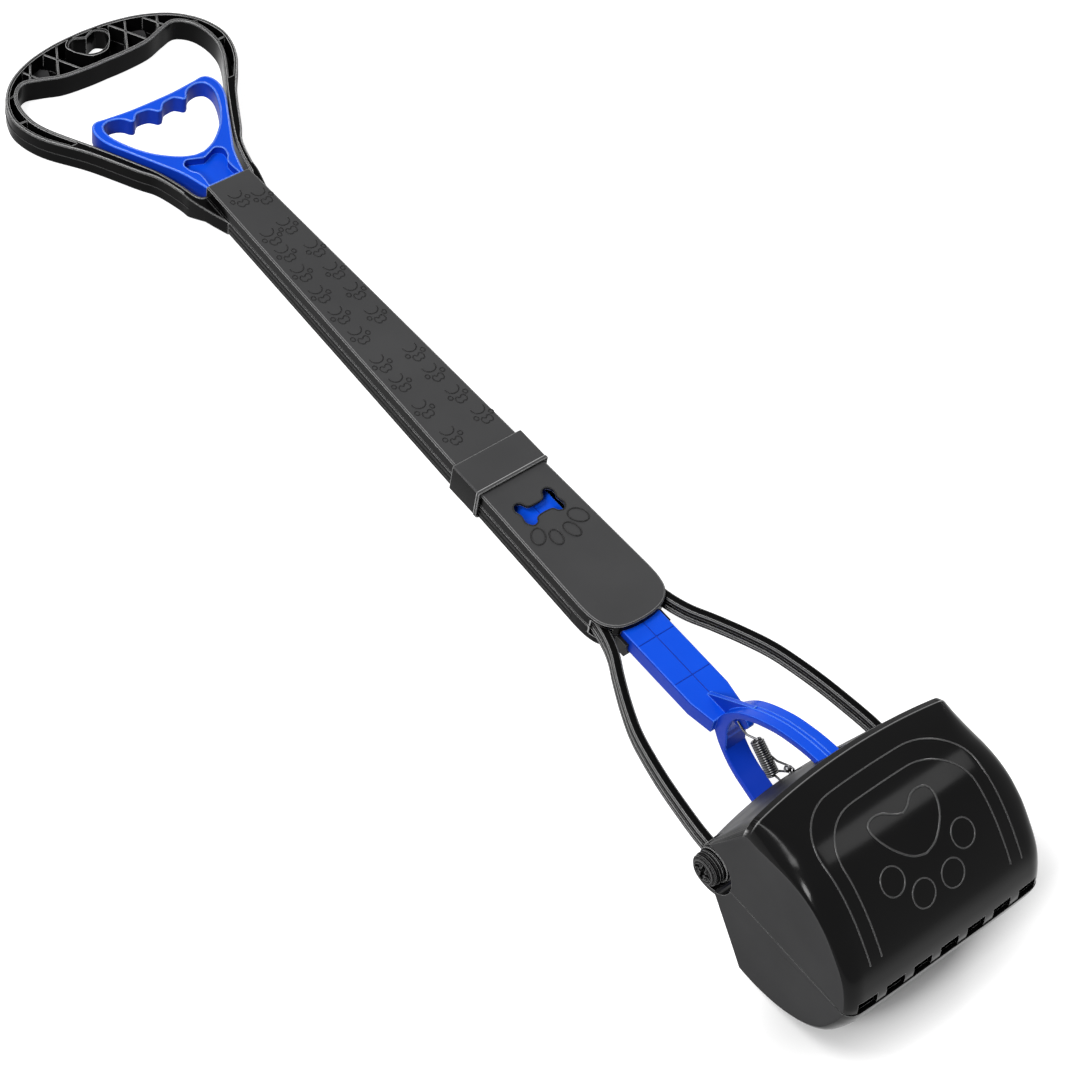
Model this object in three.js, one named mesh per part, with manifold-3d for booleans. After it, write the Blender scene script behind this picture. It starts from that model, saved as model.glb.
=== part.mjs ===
// Pooper scooper: a folding two-part pole with a D grip, a finger trigger and a pair of sprung scoop jaws.
// Millimetres. Inside the tool's own group x is its width, y runs along the pole towards the grip (0 at
// the top edge of the pole's cover) and z points out of the front cover. The last lines lay it on its back.
import * as THREE from "three";
import { mergeVertices } from "three/addons/utils/BufferGeometryUtils.js";
import Module from "manifold-3d";

const wasm = await Module();
wasm.setup();

// Driving dimensions
const POLE_HALF_TOP = 13.7; // half width of the pole at its top edge
const POLE_TAPER = 0.0275; // half width gained for each millimetre down
const FRONT = 0; // front face of both covers
const BACK = -16.6; // back face of both rear shells
const SEAM = -7.7; // where the front covers end
const GAP = 0.3; // clearance between pieces that touch in the real tool
const WALL = 1.3; // side wall of the shells
const SKIN = 2; // front and back wall of the shells
const FOLD_Y = -241.6; // the fold line and the hinge axis
const TIP_Y = -349; // rounded lower end of the lower cover
const COLLAR = { top: -224.6, bottom: -246.6, half: 22.1, front: 1.7, back: -18.3 };
const RING = { front: -7.7, back: -22 }; // the D grip's front rim and back
const GRIP = { front: -3.6, back: -14.2 }; // the trigger's front and back
const BAR = { front: -4.9, back: -14.2, half: 12, end: -412 }; // lower pull bar
const ROD_HALF = 6.2; // pull rod inside the upper pole, and the hook where both rods meet
const PIVOT = { y: -470, z: -7.5 }; // common axis of both jaws
const AXLE_R = 2.5;
const BORE_R = 2.58; // bore that turns on the axle
const ARM = { front: -2.9, back: -12.1, half: 3.3, x: 55 }; // fork arms
const JAW_HALF = 62.4;
const BEVEL = { wide: 7.7, deep: 14.4 }; // elliptical rounding of the jaws' ends
const SHELL = 2.4; // wall of the jaws
const BARREL_R = 15.7; // the front jaw's round top about the pivot, at the middle
const BARREL_DROP = 0.002; // how fast that radius falls to the ends
const BARREL_WALL = 1.8;
const RIM = { y: -475, z: 44, drop: 0.00146 }; // front jaw's arched rim
const PART_Z = -8.5; // plane between the two jaws
const STRAP = { half: 6.7, thick: 3.6 };
const FRONT_PIN = { y: -9, z: 39.5 }; // link pins, from the pivot
const REAR_PIN = { y: -9, z: -38 };
const PIN_R = 1.9;
const SLOT_HALF = 2.4; // slot in both barrels for the spring and its pin
const WIRE = 0.6; // wire radius of the return spring
const COIL_R = 3.1;
const CURLS = 9;

const BLACK = new THREE.MeshStandardMaterial({ color: 0x141416, roughness: 0.28, metalness: 0 });
const GREY = new THREE.MeshStandardMaterial({ color: 0x46464a, roughness: 0.62, metalness: 0 });
const BLUE = new THREE.MeshStandardMaterial({ color: 0x0f3ce6, roughness: 0.32, metalness: 0 });
const STEEL = new THREE.MeshStandardMaterial({ color: 0x3a3b3d, roughness: 0.35, metalness: 0.8 });

// A closed geometry as a solid for adding and cutting
function solid(geometry) {
  const g = geometry.clone();
  g.deleteAttribute("normal");
  g.deleteAttribute("uv");
  const merged = mergeVertices(g, 1e-4);
  const vertProperties = merged.attributes.position.array;
  const triVerts = new Uint32Array(merged.index.array);
  return new wasm.Manifold(new wasm.Mesh({ numProp: 3, vertProperties, triVerts }));
}

function cut(body, ...tools) {
  return tools.reduce((a, b) => a.subtract(b), body);
}

function join(body, ...others) {
  return others.reduce((a, b) => a.add(b), body);
}

// Flat outline in x and y, raised from z0 to z1
function plate(points, z0, z1, holes = []) {
  const flat = (list) => list.map(([x, y]) => new THREE.Vector2(x, y));
  const shape = new THREE.Shape(flat(points));
  shape.holes = holes.map((h) => new THREE.Path(flat(h)));
  const raised = { depth: z1 - z0, bevelEnabled: false };
  return solid(new THREE.ExtrudeGeometry(shape, raised).translate(0, 0, z0));
}

// Outline in y and z, carried across from x0 to x1
function slab(points, x0, x1) {
  const shape = new THREE.Shape(points.map(([y, z]) => new THREE.Vector2(y, z)));
  const g = new THREE.ExtrudeGeometry(shape, { depth: x1 - x0, bevelEnabled: false });
  const turn = new THREE.Matrix4().makeBasis(
    new THREE.Vector3(0, 1, 0),
    new THREE.Vector3(0, 0, 1),
    new THREE.Vector3(1, 0, 0),
  );
  return solid(g.translate(0, 0, x0).applyMatrix4(turn));
}

function box(x0, x1, y0, y1, z0, z1) {
  const g = new THREE.BoxGeometry(x1 - x0, y1 - y0, z1 - z0);
  return solid(g.translate((x0 + x1) / 2, (y0 + y1) / 2, (z0 + z1) / 2));
}

// Round bar across the tool, and round bar through its depth
function across(radius, x0, x1, y, z, sides = 24) {
  const g = new THREE.CylinderGeometry(radius, radius, x1 - x0, sides).rotateZ(Math.PI / 2);
  return solid(g.translate((x0 + x1) / 2, y, z));
}

function through(radius, x, y, z0, z1, sides = 16) {
  const g = new THREE.CylinderGeometry(radius, radius, z1 - z0, sides).rotateX(Math.PI / 2);
  return solid(g.translate(x, y, (z0 + z1) / 2));
}

// Smooth line through a few points
function smooth(points, count) {
  const curve = new THREE.SplineCurve(points.map(([a, b]) => new THREE.Vector2(a, b)));
  return curve.getPoints(count).map((p) => [p.x, p.y]);
}

// The same half outline on both sides, as one closed loop
function mirrored(half) {
  const other = half.map(([x, y]) => [-x, y]).reverse();
  return [...half, ...other].filter(([x, y], i, all) => {
    const [px, py] = all[(i + all.length - 1) % all.length];
    return Math.hypot(x - px, y - py) > 1e-3;
  });
}

// A band of constant half width along a line
function band(points, half) {
  const side = (sign) =>
    points.map(([x, y], i) => {
      const [ax, ay] = points[Math.max(0, i - 1)];
      const [bx, by] = points[Math.min(points.length - 1, i + 1)];
      const length = Math.hypot(bx - ax, by - ay);
      return [x - (sign * half * (by - ay)) / length, y + (sign * half * (bx - ax)) / length];
    });
  return [...side(1), ...side(-1).reverse()];
}

// A solid skinned over cross sections in y and z, one for each x, all with the same number of points
function loft(sections) {
  const count = sections[0].points.length;
  const flat = sections[0].points.map(([y, z]) => new THREE.Vector2(y, z));
  if (THREE.ShapeUtils.area(flat) < 0) sections.forEach((s) => s.points.reverse());
  const position = sections.flatMap(({ x, points }) => points.flatMap(([y, z]) => [x, y, z]));
  const index = [];
  for (let s = 0; s + 1 < sections.length; s++) {
    for (let i = 0; i < count; i++) {
      const a = s * count + i;
      const b = s * count + ((i + 1) % count);
      index.push(a, b, b + count, a, b + count, a + count);
    }
  }
  const cap = (s) => {
    const ring = sections[s].points.map(([y, z]) => new THREE.Vector2(y, z));
    return THREE.ShapeUtils.triangulateShape(ring, []).map((t) => t.map((k) => k + s * count));
  };
  cap(0).forEach(([a, b, c]) => index.push(a, c, b));
  cap(sections.length - 1).forEach(([a, b, c]) => index.push(a, b, c));
  const g = new THREE.BufferGeometry();
  g.setAttribute("position", new THREE.Float32BufferAttribute(position, 3));
  g.setIndex(index);
  return solid(g);
}

function mesh(name, body, material) {
  const m = body.getMesh();
  const g = new THREE.BufferGeometry();
  g.setAttribute("position", new THREE.Float32BufferAttribute(m.vertProperties, 3));
  g.setIndex(new THREE.BufferAttribute(m.triVerts, 1));
  const made = new THREE.Mesh(g, material);
  made.name = name;
  return made;
}

function group(name, ...children) {
  const g = new THREE.Group();
  g.name = name;
  g.add(...children);
  return g;
}

const halfAt = (y) => POLE_HALF_TOP + POLE_TAPER * Math.abs(Math.min(y, 0));

// A stretch of the tapered pole, inset from its sides
function poleOutline(y0, y1, inset = 0) {
  return mirrored([
    [halfAt(y0) - inset, y0],
    [halfAt(y1) - inset, y1],
  ]);
}

// Screws that come in from the back: bosses on the cover, seats in the shell
const UPPER_SCREWS = [
  [10.3, -36],
  [13.6, -196],
];
const LOWER_SCREWS = [
  [16.2, -258],
  [16.6, -288],
];

function bothSides(list, make) {
  return list.flatMap(([x, y], i) => [-1, 1].map((side) => make(side * x, y, i, side)));
}

const bosses = (list) => bothSides(list, (x, y) => through(2.3, x, y, -12.1, -1, 12));
const bossHoles = (list) => bothSides(list, (x, y) => through(1.5, x, y, -13, -3.5, 8));
const seats = (list) => bothSides(list, (x, y) => through(3.6, x, y, -15.5, -12.4, 12));
const seatHoles = (list) =>
  bothSides(list, (x, y) =>
    through(3, x, y, -17, -14.8, 12).add(through(1.5, x, y, -17, -12, 8)),
  );

function coverScrews(list, prefix) {
  return bothSides(list, (x, y, i, side) => {
    const head = through(2.6, x, y, -16.5, -15.1, 10);
    const cross = box(x - 1.6, x + 1.6, y - 0.35, y + 0.35, -17, -15.9);
    const other = box(x - 0.35, x + 0.35, y - 1.6, y + 1.6, -17, -15.9);
    const body = cut(head.add(through(1.2, x, y, -15.5, -4.2, 8)), cross, other);
    return mesh(prefix + (side < 0 ? "_left_" : "_right_") + (i + 1), body, STEEL);
  });
}

// Upper front cover: a tray with a chamfered face
function faced(outline, inset, z0) {
  const skin = plate(outline(0), z0, FRONT - 0.7);
  return join(skin, plate(outline(0.35), z0, FRONT - 0.3), plate(outline(inset), z0, FRONT));
}

function upperCover() {
  const outline = (inset) => poleOutline(FOLD_Y + 0.2 + inset, -inset, inset);
  const cavity = plate(poleOutline(FOLD_Y - 1, 1, WALL), SEAM - 1, -SKIN);
  const body = join(cut(faced(outline, 0.9, SEAM), cavity), ...bosses(UPPER_SCREWS));
  return cut(body, ...bossHoles(UPPER_SCREWS));
}

// D grip, from the pole's side round to the middle of the grip
const RING_OUTER = smooth(
  [
    [14.6, -22],
    [18.5, -11],
    [22.2, 2],
    [23.6, 10.6],
    [28, 25],
    [34.6, 35.5],
    [48.5, 59.5],
    [64.3, 81.6],
    [69.7, 98.9],
    [67.2, 112.3],
    [60.5, 122.9],
    [50.4, 131.5],
    [35.5, 138.2],
    [18, 141.9],
    [0, 143],
  ],
  36,
);
const RING_INNER = smooth(
  [
    [15, 0.4],
    [17.6, 3.5],
    [20.3, 14.9],
    [24.6, 28.2],
    [30.6, 40.3],
    [41.2, 59.5],
    [56.8, 86.4],
    [60.6, 101],
    [58, 115],
    [50, 122.6],
    [40, 120.6],
    [28, 116.6],
    [12, 115.2],
    [0, 115.2],
  ],
  34,
);

// An outline moved inwards, for the channel in the grip's front
function shrunk(loop, by) {
  const area = THREE.ShapeUtils.area(loop.map(([x, y]) => new THREE.Vector2(x, y)));
  const turn = area > 0 ? 1 : -1;
  return loop.map(([x, y], i) => {
    const [ax, ay] = loop[(i + loop.length - 1) % loop.length];
    const [bx, by2] = loop[(i + 1) % loop.length];
    const length = Math.hypot(bx - ax, by2 - ay) || 1;
    return [x - (turn * by * (by2 - ay)) / length, y + (turn * by * (bx - ax)) / length];
  });
}

function heart(width, top, bottom) {
  const half = smooth(
    [
      [0, top - 2.2],
      [width * 0.28, top - 0.4],
      [width * 0.62, top + 0.6],
      [width * 0.94, top - 3.2],
      [width * 0.86, top - 8.4],
      [width * 0.42, bottom + 1.4],
      [0, bottom],
    ],
    14,
  );
  return mirrored(half);
}

const RIBS = [
  [22.5, 131, 60],
  [22.5, 131, -60],
  [42, 128, 62],
  [42, 128, -58],
  [62, 118, -14],
  [65.5, 99, 2],
];

function handleFrame() {
  const outer = mirrored(RING_OUTER);
  const inner = mirrored(RING_INNER);
  const hang = heart(12.6, 138.6, 124);
  const ring = plate(outer, RING.back, RING.front, [inner, hang]);
  const floor = RING.back + 3;
  const upperOuter = RING_OUTER.filter(([, y]) => y > 66);
  const channelOuter = mirrored(shrunk(mirrored(upperOuter), 2.2).slice(0, upperOuter.length));
  const keep = shrunk(inner, -2.2);
  const channel = cut(
    plate(channelOuter, floor, 0),
    plate(keep, floor - 1, 1),
    plate(shrunk(hang, -1.5), floor - 1, 1),
    box(-45, 45, 60, 112, floor - 1, 1),
  );
  const whole = plate(outer, floor - 1, RING.front - 1, [inner, hang]);
  const ribs = RIBS.flatMap(([x, y, angle]) =>
    [-1, 1].map((side) => {
      const g = new THREE.BoxGeometry(42, 1.4, RING.front - 1 - floor + 1);
      g.rotateZ((side * angle * Math.PI) / 180);
      return solid(g.translate(side * x, y, (RING.front + floor - 2) / 2)).intersect(whole);
    }),
  ).map((rib) => rib.intersect(channel));
  const shellOutline = poleOutline(FOLD_Y + 0.2, 0);
  const shell = plate(shellOutline, BACK, SEAM - GAP);
  const cavity = plate(poleOutline(FOLD_Y - 1, 1, WALL), BACK + SKIN, 2);
  const lip = plate(poleOutline(FOLD_Y + 0.2, 6, -40), SEAM - GAP, 5);
  const shoulder = cut(ring, lip.intersect(plate(poleOutline(-60, 0.3, -0.5), -9, 5)));
  const body = join(cut(shoulder, channel), ...ribs, shell);
  const knuckle = across(2.1, -4.6, 4.6, FOLD_Y, BACK, 16);
  const relief = [-1, 1].map((s) =>
    across(2.5, s < 0 ? -13 : 4.6, s < 0 ? -4.6 : 13, FOLD_Y, BACK, 16),
  );
  return cut(
    join(cut(body, cavity, ...relief), knuckle, ...seats(UPPER_SCREWS)),
    across(1.18, -14, 14, FOLD_Y, BACK, 16),
    ...seatHoles(UPPER_SCREWS),
  );
}

// Locking collar, with a raised channel at its back that passes over the hinge
function collar() {
  const { top, bottom, half, front, back } = COLLAR;
  const side = [
    [half - 0.8, front],
    [half, front - 0.8],
    [half, back + 3],
    [half - 3, back],
    [15, back],
    [14.6, back - 2.6],
  ];
  const ring = mirrored(side).map(([x, z]) => new THREE.Vector2(x, z));
  const g = new THREE.ExtrudeGeometry(new THREE.Shape(ring), {
    depth: top - bottom,
    bevelEnabled: false,
  });
  const turned = g.rotateX(Math.PI / 2).translate(0, top, 0);
  const rim = box(-half - 0.3, half + 0.3, bottom, bottom + 1.6, back + 3, front + 0.3);
  const inside = plate(poleOutline(bottom - 1, top + 1, -0.4), BACK - 0.4, FRONT + 0.4);
  const channel = box(-13.4, 13.4, bottom - 1, top + 1, BACK - 3, BACK);
  return cut(solid(turned).add(rim), inside, channel);
}

// Trigger: finger ring, tapered neck and the long pull rod with its nose
const GRIP_OUTER = [
  ...smooth(
    [
      [12.1, -6],
      [12.3, 1],
      [13.6, 6.5],
      [17.6, 18.5],
      [24.4, 31],
      [32.8, 46],
      [38.4, 56.5],
      [40.4, 65],
      [39, 71.6],
      [35, 74.6],
      [28, 74],
      [14, 72.7],
      [0, 72.5],
    ],
    40,
  ),
];
const GRIP_INNER = smooth(
  [
    [0, 63.4],
    [2.4, 65.6],
    [5.6, 67.7],
    [11.4, 68.3],
    [15, 66.6],
    [17, 65.6],
    [19.4, 67],
    [23.4, 70.1],
    [29, 71],
    [33.2, 68.8],
    [34.2, 63],
    [32, 55.5],
    [27.2, 46.2],
    [20.6, 37.6],
    [11.5, 30],
    [4, 26.6],
    [0, 26.2],
  ],
  60,
);

// Half a bone, open towards the cover: the recess in the trigger's neck
const HALF_BONE = smooth(
  [
    [0, 21.8],
    [4.6, 23.6],
    [9.4, 25.2],
    [13, 22.4],
    [12.2, 17],
    [9.6, 13],
    [9.4, 8],
    [9.8, 4],
    [10.2, 1],
  ],
  22,
);

// The nose and the hook lie on circles about the fold hinge, so that folding draws them apart
const onFold = (radius, degrees) => {
  const a = (degrees * Math.PI) / 180;
  return [FOLD_Y + radius * Math.cos(a), BACK + radius * Math.sin(a)];
};
const arc = (radius, from, to, steps) =>
  Array.from({ length: steps + 1 }, (_, i) => onFold(radius, from + ((to - from) * i) / steps));

function trigger() {
  const loop = mirrored(GRIP_OUTER);
  const inner = mirrored(GRIP_INNER);
  const grip = plate(loop, GRIP.back, GRIP.front, [inner]);
  const shoulder = plate(
    mirrored([
      [12.1, -5.9],
      [ROD_HALF, -17],
    ]),
    BAR.back,
    BAR.front,
  );
  const rod = box(-ROD_HALF, ROD_HALF, FOLD_Y + 10.6, -16.9, BAR.back, BAR.front);
  const nose = slab(
    [
      [FOLD_Y + 0.3, BAR.back],
      ...arc(8.4, 88, 36, 6),
      [FOLD_Y + 7.2, BACK + 4.6],
      [FOLD_Y + 10.7, BACK + 4.6],
      [FOLD_Y + 10.7, BAR.back],
    ],
    -ROD_HALF,
    ROD_HALF,
  );
  const hollow = box(-5, 5, FOLD_Y + 18, -24, BAR.back - 1, BAR.front - 2.3);
  const bone = plate(mirrored([...HALF_BONE, [10.2, -4]]), GRIP.front - 5, 0);
  return cut(join(grip, shoulder, rod, nose), hollow, bone);
}

// Lower cover with the bone window and the rounded end
const END_HALF = [
  [halfAt(-326), -326],
  [22.2, -334],
  [20, -341],
  [14.6, -346.2],
  [7.5, -348.4],
  [0, TIP_Y],
];

function lowerOutline(inset = 0, top = FOLD_Y - 0.2) {
  const end = smooth(END_HALF, 14).map(([x, y]) => {
    const k = 1 - inset / 24;
    return [x * k, y + inset * (1 - x / 30)];
  });
  return mirrored([[halfAt(top) - inset, top - (top === FOLD_Y - 0.2 ? inset : 0)], ...end]);
}

const BONE = { x: -0.3, y: -268.6 };

function bonePoints() {
  const half = smooth(
    [
      [0, 3.6],
      [4.6, 4.2],
      [7, 8],
      [10.6, 8.4],
      [12.6, 5.2],
      [11.6, 1],
      [12.4, -3.6],
      [10, -7],
      [6.6, -6.4],
      [4.6, -3.8],
      [0, -3.2],
    ],
    22,
  );
  return mirrored(half).map(([x, y]) => [x + BONE.x, y + BONE.y]);
}

const ARM_LINE = smooth(
  [
    [17.6, -298],
    [17.6, -316],
    [17.8, -330],
    [20, -343.5],
    [24, -355.2],
    [30.4, -366.7],
    [37.7, -381],
    [43.9, -395.5],
    [47.8, -410],
    [50.7, -424.3],
    [52.8, -438.7],
    [54.4, -452.2],
    [ARM.x, -463],
  ],
  30,
);

const flip = (points) => points.map(([x, y]) => [-x, y]);

function armClearance() {
  const wide = band(ARM_LINE, ARM.half + GAP);
  return [wide, flip(wide)].map((p) => plate(p, ARM.back - GAP, ARM.front + GAP));
}

function lowerCover() {
  const cavity = plate(lowerOutline(WALL + 0.2, FOLD_Y + 1), SEAM - 1, -SKIN);
  const mouth = box(-BAR.half - 0.6, BAR.half + 0.6, -360, -330, SEAM - 1, BAR.front + 0.6);
  const window = plate(bonePoints(), -6, 2);
  const body = join(cut(faced(lowerOutline, 0.9, SEAM), cavity), ...bosses(LOWER_SCREWS));
  return cut(body, mouth, window, ...armClearance(), ...bossHoles(LOWER_SCREWS));
}

function lowerShell() {
  const nose = box(-14.4, 14.4, -353.5, -340, BACK, SEAM - GAP);
  const outer = plate(lowerOutline(), BACK, SEAM - GAP).add(nose);
  const cavity = plate(lowerOutline(WALL + 0.2, FOLD_Y + 1), BACK + SKIN, 0);
  const mouth = box(-BAR.half - 0.6, BAR.half + 0.6, -360, -330, BACK + SKIN, 0);
  const relief = across(2.5, -4.9, 4.9, FOLD_Y, BACK, 16);
  const knuckles = [-1, 1].map((s) =>
    across(2.1, s < 0 ? -12.6 : 4.9, s < 0 ? -4.9 : 12.6, FOLD_Y, BACK, 16),
  );
  const pegs = [-1, 1].map((s) => through(1.4, s * 17.6, -308, BACK + 1, -8.6, 12));
  const body = cut(outer, cavity, mouth, relief, ...armClearance());
  return cut(
    join(body, ...knuckles, ...pegs, ...seats(LOWER_SCREWS)),
    across(1.18, -14, 14, FOLD_Y, BACK, 16),
    ...seatHoles(LOWER_SCREWS),
  );
}

// Fork arm: front and back flange joined by a narrower web, and the eye on the pivot
function forkArm(side) {
  const line = side < 0 ? flip(ARM_LINE) : ARM_LINE;
  const flange = band(line, ARM.half);
  const web = plate(band(line, ARM.half - 1.1), ARM.back, ARM.front);
  const faces = [
    plate(flange, ARM.back, ARM.back + 3.2),
    plate(flange, ARM.front - 3.2, ARM.front),
  ];
  const x0 = side * ARM.x - ARM.half;
  const x1 = side * ARM.x + ARM.half;
  const eye = across(9.9, x0, x1, PIVOT.y, PIVOT.z, 28);
  const inner = side < 0 ? [x1 - 2.8, x1] : [x0, x0 + 2.8];
  const tab = box(inner[0], inner[1], PIVOT.y - 13.6, PIVOT.y - 8, PIVOT.z - 2.4, PIVOT.z + 2.4);
  const peg = through(1.7, side * 17.6, -308, -20, 5, 12);
  return cut(join(web, ...faces, eye, tab), across(2.62, x0 - 1, x1 + 1, PIVOT.y, PIVOT.z), peg);
}

// Pull fork: hooked bar, arch of two straps, gusset and spring hook
const FRONT_STRAP = smooth(
  [
    [-411.4, -5.2],
    [-414.3, 2.2],
    [-421, 11.5],
    [-428.6, 18.1],
    [-437.7, 23.8],
    [-447, 28.2],
    [-459.9, 32],
    [-470.8, 33.7],
    [PIVOT.y + FRONT_PIN.y, PIVOT.z + FRONT_PIN.z + 1.8],
  ],
  22,
);
const REAR_STRAP = smooth(
  [
    [-411.4, -14],
    [-416, -20],
    [-423.5, -26.6],
    [-431, -30.8],
    [-439.4, -33.8],
    [-447, -36.4],
    [-458, -40.2],
    [-470, -44.4],
    [PIVOT.y + REAR_PIN.y, PIVOT.z + REAR_PIN.z - 1.8],
  ],
  22,
);

function strapArch() {
  const inwards = (line, sign) =>
    line.map(([y, z], i) => {
      const [ay, az] = line[Math.max(0, i - 1)];
      const [by, bz] = line[Math.min(line.length - 1, i + 1)];
      const length = Math.hypot(by - ay, bz - az);
      const along = sign * STRAP.thick;
      return [y - (along * (az - bz)) / length, z - (along * (by - ay)) / length];
    });
  const frontIn = inwards(FRONT_STRAP, -1).filter(([y]) => y < -421);
  const rearIn = inwards(REAR_STRAP, 1).filter(([y]) => y < -421);
  return [
    ...FRONT_STRAP,
    ...frontIn.reverse(),
    [-419.6, 1.5],
    [-418.4, -5],
    [-418.6, -11],
    ...rearIn,
    ...[...REAR_STRAP].reverse(),
    [-404, -13.6],
    [-404, -5.5],
  ];
}

function pullFork() {
  const outline = mirrored([
    [BAR.half, -252],
    [BAR.half, -398],
    [9.6, BAR.end],
  ]);
  const bar = plate(outline, BAR.back, BAR.front);
  const stem = box(-ROD_HALF, ROD_HALF, -254, FOLD_Y - 4, BAR.back, BAR.front);
  const hook = slab(
    [
      [FOLD_Y - 5, BAR.front],
      ...arc(11.7, 90, 35, 7),
      ...arc(8.7, 35, 90, 7),
      [FOLD_Y - 0.4, BACK + 8.7],
      [FOLD_Y - 0.4, BAR.back],
      [FOLD_Y - 5, BAR.back],
    ],
    -ROD_HALF,
    ROD_HALF,
  );
  const hollow = box(-9.6, 9.6, -397, -258, BAR.back - 1, BAR.front - 2.3);
  const arch = slab(strapArch(), -STRAP.half, STRAP.half);
  const gusset = slab(
    [
      [-398.2, -5.4],
      [-398.2, -4.8],
      [-425.5, 16.4],
      [-424, 11],
      [-415, 0],
      [-411, -6],
    ],
    -1.3,
    1.3,
  );
  const lug = slab(
    [
      [-415, -5.5],
      [-415, 1.5],
      [-423, 1],
      [-425.2, -1.6],
      [-423, -4.2],
    ],
    -1.6,
    1.6,
  );
  const eyes = [FRONT_PIN, REAR_PIN].map((p) =>
    across(4.3, -STRAP.half, STRAP.half, PIVOT.y + p.y, PIVOT.z + p.z),
  );
  const holes = [FRONT_PIN, REAR_PIN].map((p) =>
    across(2, -STRAP.half - 1, STRAP.half + 1, PIVOT.y + p.y, PIVOT.z + p.z),
  );
  const body = cut(join(bar, stem, hook), hollow);
  return cut(join(body, arch, gusset, lug, ...eyes), ...holes);
}

// Jaws: both are shells skinned over sections across the tool
const FRONT_CURVE = smooth(
  [
    [RIM.y - 3, 45.8],
    [-492, 46.6],
    [-509, 46],
    [-524.5, 41.9],
    [-538.5, 33],
    [-550.6, 21.7],
    [-557.8, 13],
    [-562, 4.6],
    [-564.6, -3.4],
    [-565.2, PART_Z + 0.2],
  ],
  16,
);
const REAR_CURVE = smooth(
  [
    [-503, -57.6],
    [-516.4, -57.2],
    [-532, -53.7],
    [-546.4, -46.3],
    [-557.7, -36.2],
    [-564.8, -22.5],
    [-567.4, -14],
    [-568, PART_Z - 0.2],
  ],
  13,
);

const STATIONS = [0, 16, 31, 46, 54.7, 57.6, 59.9, 61.3, 62.1, JAW_HALF];
const bothWays = (list) => [...list.slice(1).map((x) => -x).reverse(), ...list];
const insetAt = (x) => {
  const t = Math.max(0, (Math.abs(x) - (JAW_HALF - BEVEL.wide)) / BEVEL.wide);
  return BEVEL.deep * (1 - Math.sqrt(Math.max(0, 1 - t * t)));
};
const barrelAt = (x) => BARREL_R - BARREL_DROP * Math.min(Math.abs(x), 52) ** 2;

// A point at a radius and angle about the pivot; the angle is 0 at the top and positive to the front
function about(radius, degrees) {
  const a = (degrees * Math.PI) / 180;
  return [PIVOT.y + radius * Math.cos(a), PIVOT.z + radius * Math.sin(a)];
}
const turnOf = (radius, from, to, steps) =>
  Array.from({ length: steps + 1 }, (_, i) => about(radius, from + ((to - from) * i) / steps));

// The outer curve moved inwards along its own normal, except where it must stay on a plane
function insetCurve(curve, by, outward) {
  return curve.map(([y, z], i) => {
    const [ay, az] = curve[Math.max(0, i - 1)];
    const [by2, bz] = curve[Math.min(curve.length - 1, i + 1)];
    const length = Math.hypot(by2 - ay, bz - az);
    const ny = (outward * (bz - az)) / length;
    const nz = (-outward * (by2 - ay)) / length;
    if (i === 0) return [y, z - Math.sign(z) * by];
    if (i === curve.length - 1) return [y + by, z];
    return [y - by * ny, z - by * nz];
  });
}

function frontSection(x, wall) {
  const drop = RIM.drop * x * x;
  const inset = insetAt(x) + (wall ? SHELL : 0);
  const radius = barrelAt(x) - (wall ? BARREL_WALL : 0);
  const curve = insetCurve(FRONT_CURVE, inset, 1).map(([y, z]) => [y - drop * blendTop(y), z]);
  const rimY = RIM.y - drop - 0.3 * insetAt(x) - (wall ? SHELL : 0);
  const rim = [rimY, RIM.z - inset];
  const last = curve[curve.length - 1];
  const end = wall
    ? [
        [last[0], PART_Z - 22],
        [PIVOT.y, PART_Z - 22],
        ...turnOf(radius, -27, 23, 6),
      ]
    : [
        [PIVOT.y + radius - 4, PART_Z + 0.2],
        about(radius - 4, -20),
        ...turnOf(radius, -20, 23, 5),
      ];
  return [rim, ...curve, ...end];
}

// The arch of the rim fades out down the front
function blendTop(y) {
  return Math.min(1, Math.max(0, (y + 520) / 42));
}

function rearSection(x, wall) {
  const inset = insetAt(x) + (wall ? SHELL : 0);
  const radius = barrelAt(x) - BARREL_WALL - 0.4 - (wall ? BARREL_WALL : 0);
  const curve = insetCurve(REAR_CURVE, inset, -1).map(([y, z], i) =>
    i === 0 && wall ? [y - SHELL * 1.2, z] : [y, z],
  );
  const last = curve[curve.length - 1];
  const end = wall
    ? [
        [last[0], PART_Z + 22],
        [PIVOT.y, PART_Z + 22],
        ...turnOf(radius, 16, -104, 9),
      ]
    : [
        [PIVOT.y + radius - 4, PART_Z - 0.2],
        about(radius - 4, 10),
        ...turnOf(radius, 10, -106, 9),
      ];
  return [...curve, ...end];
}

function jawShell(section) {
  const outer = loft(bothWays(STATIONS).map((x) => ({ x, points: section(x, false) })));
  const ends = STATIONS.filter((x) => x < JAW_HALF - SHELL - 0.05).concat(JAW_HALF - SHELL);
  const inner = loft(bothWays(ends).map((x) => ({ x, points: section(x, true) })));
  return { outer, shell: outer.subtract(inner) };
}

// Both ends of a jaw near the pivot: a stepped-in cheek that turns on the axle
function cheeks(outer, shell, x0, thick, ear) {
  const pair = (r, a, b) => [
    across(r, a, b, PIVOT.y, PIVOT.z, 28),
    across(r, -b, -a, PIVOT.y, PIVOT.z, 28),
  ];
  const blocks = pair(17, x0, 70).map((c) => c.intersect(outer));
  const recess = pair(14.5, x0 + thick, 70);
  return cut(join(cut(join(shell, ...blocks), ...recess), ...pair(ear, x0, x0 + thick)));
}

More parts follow.
